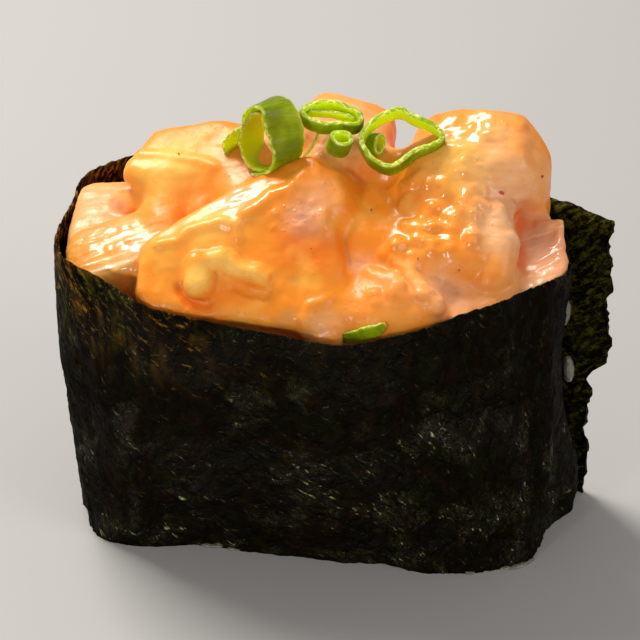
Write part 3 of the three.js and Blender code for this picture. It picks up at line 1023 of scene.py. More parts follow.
@dataclass(frozen=True)
class Chunk:
    """A rounded block of fish along a middle line, and how its sauce lies on it.

    widen and thicken say how much its width and thickness grow towards its second end, lean how
    far it is turned towards the front in degrees, square and crisp how sharp its edges are, and
    blend how widely sauce rounds the joint with its neighbours. A facet is a flat cut at a point,
    facing a direction.
    """

    node: str
    start: Point
    end: Point
    width: float
    thick: float
    lean: float
    widen: float = 0.0
    thicken: float = 0.0
    square: float = 3.2
    coat: float = 0.9
    bare: float = 0.0
    ribs: float = 0.0
    blend: float = 0.5
    crisp: float = 1.3
    facets: tuple[tuple[Point, Point], ...] = ()
    lump: float = 0.045
    narrowest: float = 0.3
    facet_round: float = 0.5
    seed: int = 0

    @property
    def axes(self) -> Array:
        """Rows: the chunk's length, width and thickness directions."""
        length = unit(np.array(self.end) - np.array(self.start))
        width = unit(np.cross([0.0, 0.0, 1.0], length))
        turn = math.radians(self.lean)
        width = width * math.cos(turn) + np.cross(length, width) * math.sin(turn)
        return np.stack([length, width, np.cross(length, width)])

    @property
    def centre(self) -> Array:
        """The middle of the chunk."""
        return (np.array(self.start) + np.array(self.end)) / 2

    @property
    def half(self) -> Array:
        """Half sizes along the axes."""
        span = float(np.linalg.norm(np.array(self.end) - np.array(self.start)))
        return np.array([span, self.width, self.thick]) / 2

    def box(self, margin: float) -> tuple[Array, Array]:
        """Corners of a box that holds the chunk and a margin.

        Args:
            margin: room round the chunk.

        Returns:
            Its lowest and highest corner.
        """
        swell = 1 + max(abs(self.widen), abs(self.thicken)) + self.lump
        reach = np.abs(self.axes.T) @ (self.half * swell) + margin
        return self.centre - reach, self.centre + reach

    def local(self, points: Array) -> Array:
        """Points in the chunk's own axes, in millimetres from its middle."""
        return (points - self.centre) @ self.axes.T

    def gauge(self, points: Array) -> Array:
        """How many times a point is out of the chunk: 1 on its skin.

        Args:
            points: places, the last axis x, y and z.

        Returns:
            One number for each.
        """
        near = self.local(points) / self.half
        along = near[..., 0]
        near[..., 1] /= np.maximum(1 + self.widen * along, self.narrowest)
        near[..., 2] /= np.maximum(1 + self.thicken * along, self.narrowest)
        turn = unit(near)
        lumps = (
            np.sin(3.3 * turn[..., 0] + self.seed)
            + np.sin(4.1 * turn[..., 1] + 2 * self.seed)
            + np.sin(3.7 * turn[..., 2] + 3 * self.seed)
        )
        power = self.square
        size = (np.abs(near) ** power).sum(axis=-1) ** (1 / power)
        return size / (1 + self.lump * lumps / 3)

    def distance(self, points: Array) -> Array:
        """Distance from the chunk's skin at loose points, below 0 inside.

        Args:
            points: n by 3.

        Returns:
            n distances.
        """
        step = 0.05
        here = self.gauge(points)
        slope = [self.gauge(points + step * axis) - here for axis in np.eye(3)]
        return (here - 1) / np.maximum(np.sqrt(sum(part**2 for part in slope)) / step, FLATTEST)

    def field(self, points: Array, pitch: float) -> Array:
        """Distance from the chunk's skin on a grid, with its facets cut, below 0 inside.

        Args:
            points: the grid's points.
            pitch: their spacing.

        Returns:
            A distance for each.
        """
        gauge = self.gauge(points)
        steep = np.sqrt(sum(part**2 for part in np.gradient(gauge, pitch)))
        reach = (gauge - 1) / np.maximum(steep, FLATTEST)
        for at, normal in self.facets:
            away = (points - np.array(at, dtype=np.float32)) @ unit(np.array(normal)).astype(np.float32)
            reach = -soft_min(-reach, -away, self.facet_round)
        return reach


@dataclass(frozen=True)
class Curd:
    """A bead, ridge or groove of thick sauce along a line on the heap, with a radius at each point.

    sink is how deep the line lies under the heap's skin, as a share of the radius. A carved
    curd is a groove, and a poured one fills the gap between chunks right along its own line.
    """

    line: tuple[Point, ...]
    radii: tuple[float, ...]
    sink: float = 0.3
    blend: float = 0.5
    carve: bool = False
    poured: bool = False

    def settled(self, surface: HeapField) -> Curd:
        """The curd with its line moved to its depth under the heap's skin.

        Args:
            surface: the heap's field.

        Returns:
            The curd, at its depth.
        """
        if self.poured:
            return self
        points = surface.dropped(np.array(self.line), self.sink * np.array(self.radii))
        return replace(self, line=tuple(map(tuple, points)))

    def box(self, margin: float) -> tuple[Array, Array]:
        """Corners of a box that holds the curd and a margin."""
        line, reach = np.array(self.line), max(self.radii) + margin
        return line.min(axis=0) - reach, line.max(axis=0) + reach

    def field(self, points: Array, _pitch: float) -> Array:
        """Distance from the curd's skin, below 0 inside.

        Args:
            points: the grid's points.
            _pitch: their spacing, not used; a chunk's field needs it.

        Returns:
            A distance for each.
        """
        line, radii = np.array(self.line), self.radii
        if len(line) == 1:
            return np.linalg.norm(points - line[0], axis=-1) - radii[0]
        best = np.full(points.shape[:-1], np.inf)
        for a, b, first, second in zip(line[:-1], line[1:], radii[:-1], radii[1:]):
            along = np.clip(((points - a) @ (b - a)) / ((b - a) @ (b - a)), 0, 1)
            away = np.linalg.norm(points - a - along[..., None] * (b - a), axis=-1)
            best = np.minimum(best, away - first - (second - first) * along)
        return best


def dollop(*spots: Spot, sink: float, blend: float = 0.5, carve: bool = False) -> Curd:
    """A curd that is laid on the heap's skin, wherever that is once the chunks have joined.

    Args:
        spots: places along it, each x, y, z and radius.
        sink: how deep it lies, as a share of its radius.
        blend: how widely it is rounded into the heap.
        carve: whether it is a groove.

    Returns:
        The curd.
    """
    return Curd(tuple(spot[:3] for spot in spots), tuple(spot[3] for spot in spots), sink, blend, carve)


def pour(*spots: Spot, blend: float, carve: bool = False) -> Curd:
    """A curd that stays right where its spots are, such as sauce that fills a gap between chunks."""
    return replace(dollop(*spots, sink=0, blend=blend, carve=carve), poured=True)


@dataclass(frozen=True)
class Beads:
    """Small lumps of sauce scattered over a part of the heap, from a seed.

    Their middles lie within spread half reaches of the place. A lump's length is between squat
    and stretch times its radius, and its second end is tail times as thick as its first. A lump
    that doesn't settle on the skin, or gets longer than longest radii there, is left out.
    """

    at: Point
    reach: float
    count: int
    radii: tuple[float, float]
    seed: int
    sink: float = 0.4
    stretch: float = 1.8
    blend: float = 0.35
    spread: float = 1.4
    squat: float = 0.3
    settled: float = 0.1
    longest: float = 3.0
    tail: float = 0.8

    def curds(self, surface: HeapField) -> list[Curd]:
        """The lumps, each a short bead that lies on the heap's skin.

        Args:
            surface: the heap's field.

        Returns:
            One curd for each lump that is kept.
        """
        draw = np.random.default_rng(self.seed)
        lumps = []
        for _ in range(self.count):
            away = np.clip(draw.normal(size=3), -self.spread, self.spread)
            start = np.array(self.at) + away * self.reach / 2
            radius = draw.uniform(*self.radii)
            end = start + unit(draw.normal(size=3)) * radius * draw.uniform(self.squat, self.stretch)
            line = surface.dropped(np.stack([start, end]), np.zeros(2))
            length = np.linalg.norm(line[1] - line[0])
            if np.abs(surface.at(line)).max() < self.settled and length < self.longest * radius:
                radii = (radius, radius * self.tail)
                line = surface.dropped(line, self.sink * np.array(radii))
                lumps.append(pour(*((*at, size) for at, size in zip(line, radii)), blend=self.blend))
        return lumps


@dataclass(frozen=True)
class Patch:
    """A place on the fish with its own look, strongest at its middle.

    bare and blush show raw flesh, rough is froth, shade is painted shade that darkens and dulls the sauce
    (below 0 it is a slip of herb instead), ribs are the flesh's ribs, the cream value is thick sauce and also
    painted light that brightens faces, and smear spreads sauce over bare flesh.
    """

    at: Point
    reach: float
    bare: float = 0.0
    blush: float = 0.0
    rough: float = 0.0
    shade: float = 0.0
    ribs: float = 0.0
    cream: float = 0.0
    smear: float = 0.0


# The direction that a top face looks in where it catches the key light.
LIT_FACE = (-0.24, -0.30, 0.92)

CHUNKS: tuple[Chunk, ...] = (
    Chunk("fish_crest", (-16.0, -11.4, 29.6), (4.2, -6.0, 33.2), width=14.4, thick=8.8, lean=44, widen=0.5,
          thicken=0.1, square=3.8, coat=0.95, crisp=2.0, facets=(((-7.6, -9.5, 36.9), LIT_FACE),
          ((-15.3, -11.0, 32.6), (-0.93, -0.2, 0.3)))),
    Chunk("fish_right_block", (7.4, -3.6, 32.2), (21.4, -4.6, 33.2), width=11.5, thick=10, lean=24,
          widen=-0.05, square=3.4, coat=0.85, blend=1.5, crisp=1.0, facets=(((20.6, -3.0, 37.2),
          (0.78, 0.1, 0.5)), ((14.0, -5.0, 37.8), (-0.2, -0.25, 0.94)))),
    Chunk("fish_front_right", (4.8, -11.2, 28.8), (16.0, -11.0, 29.8), width=8.4, thick=7.6, lean=18,
          widen=-0.1, square=2.8, coat=0.75, blend=1.5, crisp=1.0),
    Chunk("fish_rim_scrap", (1.8, -13.4, 27.4), (6.2, -13.8, 28.4), width=4.6, thick=4.6, lean=30,
          square=2.3, coat=0.6, crisp=1.2),
    Chunk("fish_right_slab", (20.6, -5.4, 30.4), (26.7, -2.8, 32.0), width=10.6, thick=5, lean=15,
          square=5.5, coat=0.5, bare=0.3, ribs=0.3, blend=0.35),
    Chunk("fish_corner_slab", (14.6, -10.8, 29.2), (22.4, -8.4, 30.6), width=6.4, thick=4.6, lean=22,
          widen=-0.1, square=4, blend=0.9, coat=0.55),
    Chunk("fish_left_front", (-23.4, -7.8, 28.0), (-11.6, -5.6, 31.6), width=8.4, thick=7, lean=16,
          thicken=0.05, square=4, coat=0.95, bare=0.1, ribs=0.42, blend=0.3, crisp=1.5),
    Chunk("fish_left_slab", (-24.8, -0.6, 29.2), (-16.2, 0.2, 29.8), width=11.5, thick=6, lean=10,
          square=4.5, coat=0.6, bare=0.3, ribs=0.06, blend=0.3),
    Chunk("fish_left_cap", (-19.8, 2.2, 35.6), (-6.2, 3.6, 35.2), width=8.6, thick=9.2, lean=8, widen=0.15,
          thicken=0.35, square=2.9, coat=1.0, blend=0.9, crisp=1.25, facets=(((-18.9, 1.2, 36.9),
          (-0.82, 0.05, 0.56)), ((-13.0, 2.5, 39.6), (-0.05, -0.38, 0.92)), ((-17.7, -1.5, 36.2),
          (-0.32, -0.52, -0.8)))),
    Chunk("fish_right_tall", (10.2, 4.4, 36.8), (24.2, 3.6, 37.6), width=9.4, thick=13.2, lean=22,
          widen=0.06, thicken=0.06, square=3.4, coat=0.8, blend=1.9, crisp=1.1, facets=(((12.6, 2.5, 43.4),
          (-0.45, -0.1, 0.88)), ((16.5, 2.5, 44.0), (-0.12, -0.28, 0.95)), ((19.8, 3.0, 43.8),
          (0.25, -0.14, 0.96)), ((21.8, 3.0, 42.7), (0.75, -0.05, 0.66)))),
    Chunk("fish_centre", (-9.8, -0.4, 33.6), (-1.6, 4.2, 37.0), width=10, thick=9.6, lean=10, square=3,
          blend=1.4, coat=0.8, bare=0.2),
    Chunk("fish_back_top", (-2.2, 5.8, 38.4), (7.4, 5.2, 37.0), width=9.4, thick=10, lean=6, thicken=-0.1,
          square=3, blend=1.6, coat=0.75, bare=0.1, facets=(((3.2, 4.0, 43.2), (0.47, -0.1, 0.87)),
          ((0.0, 4.0, 43.7), (-0.1, -0.2, 0.97)))),
    Chunk("fish_valley", (6.0, 1.6, 35.2), (7.2, -8.2, 30.8), width=8.8, thick=8.4, lean=0, square=2.7,
          coat=1.0, blend=1.3, crisp=1.0),
    Chunk("fish_back_left", (-20.6, 7.6, 30.6), (-8.6, 10.4, 31.6), width=7.4, thick=8.6, lean=-12,
          square=3.2, blend=1.2, coat=0.85),
    Chunk("fish_back_middle", (-6.4, 10.8, 33.2), (5.4, 10.2, 33.4), width=7.4, thick=9.6, lean=-14,
          square=3.2, blend=1.4, coat=0.9),
    Chunk("fish_back_right", (6.8, 8.8, 32.4), (18.6, 6.0, 32.2), width=6.8, thick=9.4, lean=-10,
          square=3.2, blend=1.4, coat=0.8),
)

CURDS: tuple[Curd, ...] = (
    # under the cap, down its front in one wide curtain, and over the corner of the slab below it
    pour((-16.8, 0.3, 36.3, 1.3), (-14.2, -0.2, 36.1, 1.5), (-11.2, -0.4, 36.1, 1.4), blend=1.2),
    pour((-15.1, -0.5, 35.4, 2.3), (-14.5, -1.8, 34.4, 2.5), (-14.0, -4.2, 33.1, 2.3), blend=1.8),
    pour((-19.6, 0.6, 32.7, 1.4), (-16.8, -0.7, 33.5, 1.9), blend=0.8),
    pour((-10.6, -1.0, 35.4, 1.8), (-10.6, -3.2, 34.4, 1.4), blend=0.8),
    # from the crest to the tall chunk and off the crest's right end
    pour((2.2, 0.6, 39.2, 1.9), (5.6, 0.8, 39.2, 2.0), (9.2, 0.8, 38.8, 1.9), blend=2.0),
    pour((-0.4, -2.8, 37.5, 2.6), (2.1, -3.0, 37.4, 2.7), (2.8, -5.2, 36.5, 2.7), (1.6, -7.8, 34.7, 2.2),
         blend=1.0),
    # over the tall chunk and from there on to the block, and down the valley
    pour((11.8, -0.2, 38.8, 2.2), (16.0, -0.7, 39.3, 2.4), (19.4, -0.3, 39.0, 1.8), blend=2.6),
    pour((12.4, -2.4, 36.6, 2.2), (17.0, -2.8, 36.4, 2.0), blend=2.6),
    pour((6.6, -2.2, 35.6, 1.6), (6.8, -6.0, 33.8, 1.7), (6.4, -8.4, 31.8, 1.4), blend=2.0),
    # the crest's upper edge, with its drip and the small bead beside it
    dollop((-13.4, -11.1, 34.5, 0.5), (-11.4, -10.9, 35.2, 0.55), (-10.7, -10.1, 35.8, 0.55),
         (-9.5, -9.8, 36.3, 0.5), (-7.6, -9.5, 36.8, 0.6), (-6.0, -9.7, 36.7, 0.65),
         (-5.6, -10.5, 35.9, 0.5), sink=0.2),
    dollop((-5.1, -8.7, 37.6, 0.55), (-3.9, -8.0, 38.1, 0.6), (-2.8, -6.9, 38.9, 0.75),
         (-1.1, -6.2, 39.3, 0.6), (0.3, -4.3, 39.6, 0.5), sink=0.35),
    dollop((-15.2, -10.9, 33.4, 0.6), (-14.8, -12.9, 32.1, 0.6), (-14.1, -14.1, 30.9, 0.6),
         (-12.8, -14.6, 29.7, 0.6), sink=0.5),
    # the hooked curd and the ridge beside it, over the grooves that undercut them
    dollop((-10.6, -14.4, 31.6, 0.45), (-9.6, -15.1, 30.8, 0.6), (-8.0, -15.3, 30.7, 0.5), sink=-0.1,
         blend=0.8, carve=True),
    dollop((-5.2, -14.1, 32.2, 0.45), (-3.8, -14.3, 32.0, 0.6), (-2.3, -14.4, 31.8, 0.5), sink=-0.1,
         blend=0.8, carve=True),
    dollop((-9.2, -12.8, 33.6, 1.4), (-8.9, -14.0, 32.1, 1.5), sink=-0.25, blend=0.4),
    dollop((-8.1, -14.2, 31.8, 1.0), sink=0.0, blend=0.4),
    dollop((-7.8, -12.4, 34.0, 1.15), (-6.9, -12.3, 34.2, 1.25), (-6.1, -12.4, 34.1, 1.0), sink=-0.15,
         blend=0.3),
    dollop((-5.6, -12.8, 33.6, 1.0), (-4.4, -13.0, 33.4, 0.9), (-3.3, -13.1, 33.3, 1.0),
         (-2.5, -13.3, 33.0, 0.8), sink=0.0),
    # the cap's front edge and its round left tip
    dollop((-18.6, 0.6, 37.2, 0.5), (-17.6, 0.8, 38.1, 0.6), (-14.9, 0.3, 39.0, 0.6),
         (-11.3, -0.4, 39.0, 0.6), (-9.5, -0.8, 38.2, 0.5), sink=0.3),
    pour((-18.1, -0.3, 36.7, 1.05), (-17.0, -0.6, 36.6, 1.1), blend=1.0),
    # the folds over the right block and the valley
    dollop((10.5, -3.7, 37.7, 0.5), (12.6, -3.0, 38.3, 0.6), (14.8, -2.6, 38.5, 0.6),
         (16.7, -3.3, 38.4, 0.5), sink=0.35),
    dollop((10.6, -6.6, 36.5, 0.5), (12.4, -7.4, 36.6, 0.65), (13.7, -7.0, 36.9, 0.5),
         (15.2, -7.7, 36.7, 0.5), sink=0.3),
    dollop((12.0, -8.5, 36.0, 0.55), (13.6, -8.9, 36.0, 0.6), (15.1, -8.6, 36.3, 0.45), sink=0.3),
    dollop((14.7, -4.5, 38.0, 0.5), (16.1, -5.2, 37.7, 0.6), (17.5, -6.2, 37.3, 0.6),
         (17.3, -8.4, 36.4, 0.5), sink=0.3),
    dollop((12.2, -0.2, 41.2, 0.4), (13.8, -0.7, 41.4, 0.45), (15.2, -1.2, 40.9, 0.45),
         (16.2, -1.5, 39.4, 0.4), sink=0.4),
    # the groove and the pale end of the right block, and the fin on the right slab's far corner
    pour((21.5, -3.0, 37.2, 0.5), (23.2, -5.8, 35.2, 0.5), (23.4, -8.9, 33.0, 0.45), blend=0.3, carve=True),
    pour((19.4, -4.1, 37.7, 0.9), (20.2, -6.5, 34.9, 2.0), (19.6, -8.7, 32.5, 2.3), blend=0.3),
    pour((23.7, -1.5, 34.3, 0.5), (25.7, -1.2, 35.3, 0.35), (26.0, -3.0, 34.3, 0.4),
         (26.0, -6.0, 32.4, 0.4), blend=0.9),
    # the lumps over the front right and the rim scrap
    dollop((10.1, -9.7, 34.3, 0.7), (11.7, -11.0, 33.3, 0.8), (13.1, -13.0, 32.4, 0.95),
         (14.5, -13.4, 31.6, 1.15), sink=0.1),
    dollop((7.7, -10.4, 33.0, 0.6), (9.3, -11.6, 33.0, 0.8), (11.3, -13.4, 32.2, 0.9), sink=0.35),
    dollop((9.0, -8.8, 34.2, 0.6), (10.6, -8.6, 35.2, 0.7), sink=0.3),
    dollop((1.9, -14.4, 28.9, 0.45), (1.8, -14.7, 29.7, 0.5), (2.4, -14.2, 30.6, 0.5),
         (3.6, -13.5, 30.9, 0.4), sink=0.1),
)

BEADS: tuple[Beads, ...] = (
    Beads((14.0, -5.0, 38.0), 5.6, 34, radii=(0.45, 0.95), seed=4),
    Beads((16.6, -5.4, 37.9), 2.8, 8, radii=(0.35, 0.7), seed=12),
    Beads((10.6, -11.8, 33.0), 4.4, 16, radii=(0.4, 0.8), seed=5),
    Beads((17.8, 1.4, 43.6), 3.4, 9, radii=(0.6, 0.9), seed=6, sink=0.7, stretch=2.4, blend=0.5),
    Beads((0.2, -7.6, 38.0), 3.4, 18, radii=(0.3, 0.42), seed=7, sink=0.45, stretch=1.2, blend=0.2),
    Beads((-18.5, -10.6, 31.8), 3.4, 12, radii=(0.3, 0.4), seed=8, sink=0.5, stretch=1.0, blend=0.2),
    Beads((6.4, -9.0, 32.8), 4.0, 9, radii=(0.3, 0.4), seed=9, sink=0.5, stretch=1.0, blend=0.2),
    Beads((4.0, -14.2, 30.2), 2.4, 8, radii=(0.3, 0.4), seed=10, sink=0.5, stretch=1.0, blend=0.2),
    Beads((16.0, -1.0, 40.4), 5.0, 8, radii=(0.3, 0.4), seed=11, sink=0.5, stretch=1.0, blend=0.2),
)

PATCHES: tuple[Patch, ...] = (
    # bare flesh on the crest, in the valley, on the block, the tall chunk and the slabs
    Patch((1.8, -5.8, 38.6), 2.4, bare=0.75, blush=0.5, rough=0.5),
    Patch((0.4, -8.7, 37.0), 1.9, bare=0.65, blush=0.55, rough=0.5),
    Patch((2.4, -8.4, 35.8), 1.8, bare=0.5, blush=0.3, rough=0.2),
    Patch((-6.9, -6.8, 38.0), 2.6, bare=0.7, rough=0.3, ribs=0.4),
    Patch((6.0, -8.8, 32.9), 1.7, bare=0.95, blush=0.9),
    Patch((15.4, -11.6, 32.2), 2.6, bare=0.75, blush=0.5),
    Patch((20.4, -6.4, 36.0), 3.0, bare=1.0, blush=0.1),
    Patch((20.4, -1.4, 38.6), 4.2, bare=0.85, blush=0.15, ribs=0.1),
    Patch((3.0, 3.0, 42.0), 4.5, bare=0.9),
    Patch((-12.5, -6.1, 34.8), 1.5, bare=0.6, blush=0.5),
    Patch((-18.2, -0.8, 34.4), 1.6, bare=0.3),
    Patch((-21.5, 0.4, 32.6), 3.4, bare=0.55, blush=0.1),
    Patch((-18.4, -7.0, 33.2), 4.0, bare=0.5),
    Patch((3.0, -14.0, 29.4), 2.0, bare=0.7, blush=0.2, rough=0.2),
    # fine froth, where the sauce glints
    Patch((14.8, -5.4, 38.0), 5.2, bare=0.1, rough=1.0),
    Patch((18.2, 1.4, 43.6), 3.6, bare=0.3, rough=0.7),
    Patch((14.6, 1.6, 43.2), 2.6, rough=0.9),
    Patch((-2.0, -7.2, 38.4), 2.6, bare=0.1, blush=0.1, rough=0.5),
    Patch((0.8, -8.4, 37.8), 2.4, bare=0.1, blush=0.1, rough=0.6),
    Patch((-17.4, -9.6, 32.2), 1.8, bare=0.1, rough=0.6),
    # thick, creamy sauce on the edges and the hooked curd, and painted light: paler sauce on the cap's front
    # and lip, the tall chunk's face and the left front's face
    Patch((-8.6, -9.6, 36.4), 3.2, cream=0.9),
    Patch((-14.6, -1.0, 37.2), 3.6, cream=0.9),
    Patch((15.8, -0.6, 41.6), 3.8, cream=1.0),
    Patch((-15.2, 0.2, 39.3), 1.6, cream=0.2),
    Patch((-11.2, -0.6, 39.1), 1.6, cream=0.2),
    Patch((-14.5, 1.6, 39.8), 3.0, cream=0.4),
    Patch((-9.0, -15.2, 33.6), 1.4, cream=1.4),
    Patch((-6.8, -13.6, 34.5), 1.3, cream=1.3),
    Patch((-4.8, -13.8, 34.0), 1.2, cream=0.8),
    Patch((-2.9, -14.0, 33.6), 0.9, cream=0.6),
    Patch((-18.0, -11.4, 30.8), 2.8, cream=0.8),
    # painted shade: darker, duller sauce in the hollows, under the curds, low on the crest and on its right
    # side, and on the cap's top, the left front's face, the front right and the right slab
    Patch((1.0, -10.6, 34.2), 3.4, shade=0.45),
    Patch((1.6, -9.4, 36.4), 3.2, shade=1.0),
    Patch((-13.5, 2.4, 39.8), 4.2, shade=0.7),
    Patch((-4.0, -14.6, 31.0), 3.2, shade=0.3),
    Patch((-7.6, -15.6, 30.6), 4.0, shade=0.3),
    Patch((-9.4, -15.3, 31.2), 0.8, shade=0.5),
    Patch((-7.5, -14.9, 32.1), 0.8, shade=0.45),
    Patch((-3.4, -14.7, 32.0), 1.0, shade=0.4),
    Patch((-12.6, -2.0, 33.6), 2.2, shade=0.3),
    Patch((-12.4, -3.4, 35.2), 2.3, shade=0.8),
    Patch((-12.3, -3.6, 34.6), 2.8, shade=0.6),
    Patch((-16.6, -9.8, 30.4), 3.0, shade=0.4),
    Patch((10.2, -12.0, 32.6), 4.0, bare=0.2, shade=0.4),
    Patch((24.6, -3.8, 33.2), 4.4, bare=0.3, blush=0.9, shade=0.9),
    # sauce smeared over bare ends, and the ribs of the right slab
    Patch((-14.2, -4.8, 33.8), 2.6, smear=1.0),
    Patch((-15.0, -3.4, 35.6), 2.4, smear=0.9),
    Patch((24.4, -4.5, 33.6), 3.0, ribs=0.5),
    # slips of herb under the sauce
    Patch((0.6, -13.0, 32.9), 0.9, shade=-0.7),
    Patch((0.4, -15.0, 30.0), 0.9, bare=0.3, rough=0.5, shade=-0.6),
    Patch((-0.8, -15.2, 29.3), 0.9, bare=0.3, rough=0.5, shade=-0.6),
)


@dataclass
class HeapField:
    """A distance field on a grid."""

    reach: Array
    axes: list[Array]
    pitch: float
    margin: float = 2.5

    def at(self, points: Array) -> Array:
        """The field between the grid's points.

        Args:
            points: n by 3.

        Returns:
            n distances.
        """
        place = (points - np.array([axis[0] for axis in self.axes])) / self.pitch
        place = np.clip(place, 0, np.array(self.reach.shape) - 1.001)
        low = place.astype(int)
        part = place - low
        total = np.zeros(len(points))
        for corner in itertools.product((0, 1), repeat=3):
            step = np.array(corner)
            weight = np.prod(np.where(step, part, 1 - part), axis=1)
            total += weight * self.reach[tuple((low + step).T)]
        return total

    def slope(self, points: Array) -> Array:
        """Unit directions in which the field grows."""
        steps = 0.3 * np.eye(3)
        return unit(np.stack([self.at(points + step) - self.at(points - step) for step in steps], axis=1))

    def dropped(self, points: Array, depth: Array) -> Array:
        """Points moved to a depth under the skin, in a few steps of limited length.

        Args:
            points: n by 3.
            depth: how deep each of them goes.

        Returns:
            The moved points.
        """
        rounds, longest = 6, 0.8
        for _ in range(rounds):
            points = points - self.slope(points) * np.clip(self.at(points), -longest, longest)[:, None]
        return points - self.slope(points) * depth[:, None]

    def region(self, corners: tuple[Array, Array]) -> tuple[tuple[slice, ...], Array]:
        """The grid's part inside a box, and its points.

        Args:
            corners: the box's lowest and highest corner.

        Returns:
            Slices of the grid, and its points there.
        """
        spans = []
        for axis, low, high in zip(self.axes, *corners):
            first, last = np.searchsorted(axis, (low, high))
            spans.append(slice(max(first - 1, 0), min(last + 1, len(axis))))
        grid = np.meshgrid(*(axis[span] for axis, span in zip(self.axes, spans)), indexing="ij")
        return tuple(spans), np.stack(grid, axis=-1).astype(np.float32)

    def add(self, form: Chunk | Curd, carve: bool = False) -> None:
        """Joins a form to the field, or carves it out.

        Args:
            form: the chunk or curd.
            carve: whether it is carved out.
        """
        spans, points = self.region(form.box(self.margin))
        reach = np.minimum(form.field(points, self.pitch), FAR).astype(np.float32)
        here = self.reach[spans]
        side = -1 if carve else 1
        self.reach[spans] = side * soft_min(side * here, reach, form.blend)


@dataclass
class SaucedFish:
    """The heap of fish chunks in their sauce, as one continuous skin.

    The wall holds it at wall_offset from the middle of the nori, rounded over rim_blend. feel is
    how far over the skin it is tested for hollows, and share_reach how fast the chunks' looks
    turn into each other.
    """

    pitch: float = 0.23
    quick_pitch: float = 0.32
    rim_blend: float = 0.45
    floor: float = 25.4
    wall_offset: float = -0.23
    feel: float = 1.8
    share_reach: float = 0.35
    low: Point = (-27.0, -19.0, 24.6)
    high: Point = (28.6, 16.0, 46.0)
    chunks: tuple[Chunk, ...] = tuple(replace(chunk, seed=order + 1) for order, chunk in enumerate(CHUNKS))
    curds: tuple[Curd, ...] = CURDS
    beads: tuple[Beads, ...] = BEADS
    patches: tuple[Patch, ...] = PATCHES

    def heap(self) -> HeapField:
        """The heap's distance field, with all that lies on it, held by wall and floor.

        Returns:
            The field.
        """
        pitch = self.pitch
        axes = [np.arange(low, high, pitch) for low, high in zip(self.low, self.high)]
        heap = HeapField(np.full([len(axis) for axis in axes], FAR, dtype=np.float32), axes, pitch)
        for chunk in self.chunks:
            heap.add(replace(chunk, square=chunk.square * chunk.crisp))
        for curd in [curd.settled(heap) for curd in self.curds]:
            heap.add(curd, curd.carve)
        for lump in [lump for beads in self.beads for lump in beads.curds(heap)]:
            heap.add(lump)
        heap.reach = -soft_min(-heap.reach, -WALL.room(*axes, self.wall_offset), self.rim_blend)
        heap.reach = np.maximum(heap.reach, (self.floor - axes[2]).astype(np.float32))
        # the grid's border lies outside, so that the skin is closed
        for axis, end in itertools.product(range(3), (0, -1)):
            edge = [slice(None)] * 3
            edge[axis] = end
            heap.reach[tuple(edge)] = np.maximum(heap.reach[tuple(edge)], 0.5)
        return heap

    def patched(self, points: Array) -> dict[str, Array]:
        """What the patches add up to, by the name of each look.

        Args:
            points: n by 3.

        Returns:
            n strengths for each look.
        """
        keys = ("bare", "blush", "rough", "shade", "ribs", "cream", "smear")
        looks = {key: np.zeros(len(points)) for key in keys}
        for patch in self.patches:
            away = np.linalg.norm(points - np.array(patch.at), axis=1)
            near = bell(away, 0.0, patch.reach)
            for key in keys:
                looks[key] += getattr(patch, key) * near
        return looks

    def looks(self, skin: Skin, heap: HeapField) -> None:
        """Keeps at each point the values that the finish and the fine relief read.

        Args:
            skin: the heap's skin, which gets the values.
            heap: its field.
        """
        # how concave the skin is; the finish paints shade into the hollows from this, and bare flesh and ribs
        # fade there
        beyond = heap.at(skin.points + skin.normals() * self.feel) / self.feel
        hollow = smooth(1 - beyond, 0.28, 0.95)
        # each point takes its sauce from the chunks that it is near, and its grain from the nearest
        reach = np.stack([chunk.distance(skin.points) for chunk in self.chunks])
        nearest = np.argmin(reach, axis=0)
        weight = np.exp(-(reach - reach.min(axis=0)) / self.share_reach)
        weight /= weight.sum(axis=0)
        coat, bare, ribs = (weight.T @ np.array([getattr(chunk, key) for chunk in self.chunks])
                            for key in ("coat", "bare", "ribs"))
        places = self.patched(skin.points)
        unsmeared = 1 - np.clip(places["smear"], 0, 1)
        bare = np.clip(np.maximum(bare, places["bare"]), 0, 1) * unsmeared
        grain = np.zeros_like(skin.points)
        for order, chunk in enumerate(self.chunks):
            mine = nearest == order
            grain[mine] = chunk.local(skin.points[mine]) + 20 * order
        skin.values = {
            "coat": 1 - (1 - coat) * unsmeared,
            "hollow": hollow,
            "bare": bare * (1 - hollow),
            "blush": np.clip(places["blush"], 0, 1),
            "shade": places["shade"],
            "grain": grain,
            "froth": np.clip(places["rough"], 0, 1),
            "ribs": np.maximum(ribs, places["ribs"]) * (1 - hollow) * unsmeared,
            "cream": np.clip(places["cream"], 0, 1),
        }

    def relief(self, skin: Skin) -> Array:
        """Fine relief of the heap: soft swells, strands of bare flesh, ribs and frothy waves.

        Args:
            skin: the heap's skin, with its values.

        Returns:
            Millimetres outwards.
        """
        lumps = Lattice(5)
        points, grain = skin.points, skin.values["grain"]
        swell = 0.13 * lumps.layered(points / 3.4, 3) + 0.03 * lumps.layered(points / 1.1 + 40, 2)
        strands = 0.1 * lumps.layered(grain * [0.1, 1.0, 1.0], 3)
        ribbed = 0.7 * (lumps.ridged(grain * [0.06, 0.5, 0.5] + 9, 3) - 0.5)
        waves = 0.2 * lumps.layered(points / 1.7 + 70, 1)
        return (swell + strands * skin.values["bare"] + ribbed * skin.values["ribs"]
                + waves * skin.values["froth"])

    def build(self, finish: Material) -> HeapField:
        """Makes the heap.

        Args:
            finish: its material.

        Returns:
            Its field, for what lies on it.
        """
        heap = self.heap()
        skin = surface_net(heap.reach, np.array([axis[0] for axis in heap.axes]), heap.pitch)
        skin.relax(2, 0.4)
        self.looks(skin, heap)
        skin.push(self.relief(skin))
        skin.piece("sauced_fish", finish, Slot.FISH, *(chunk.node for chunk in self.chunks))
        return heap


# ---- the nori strip ----


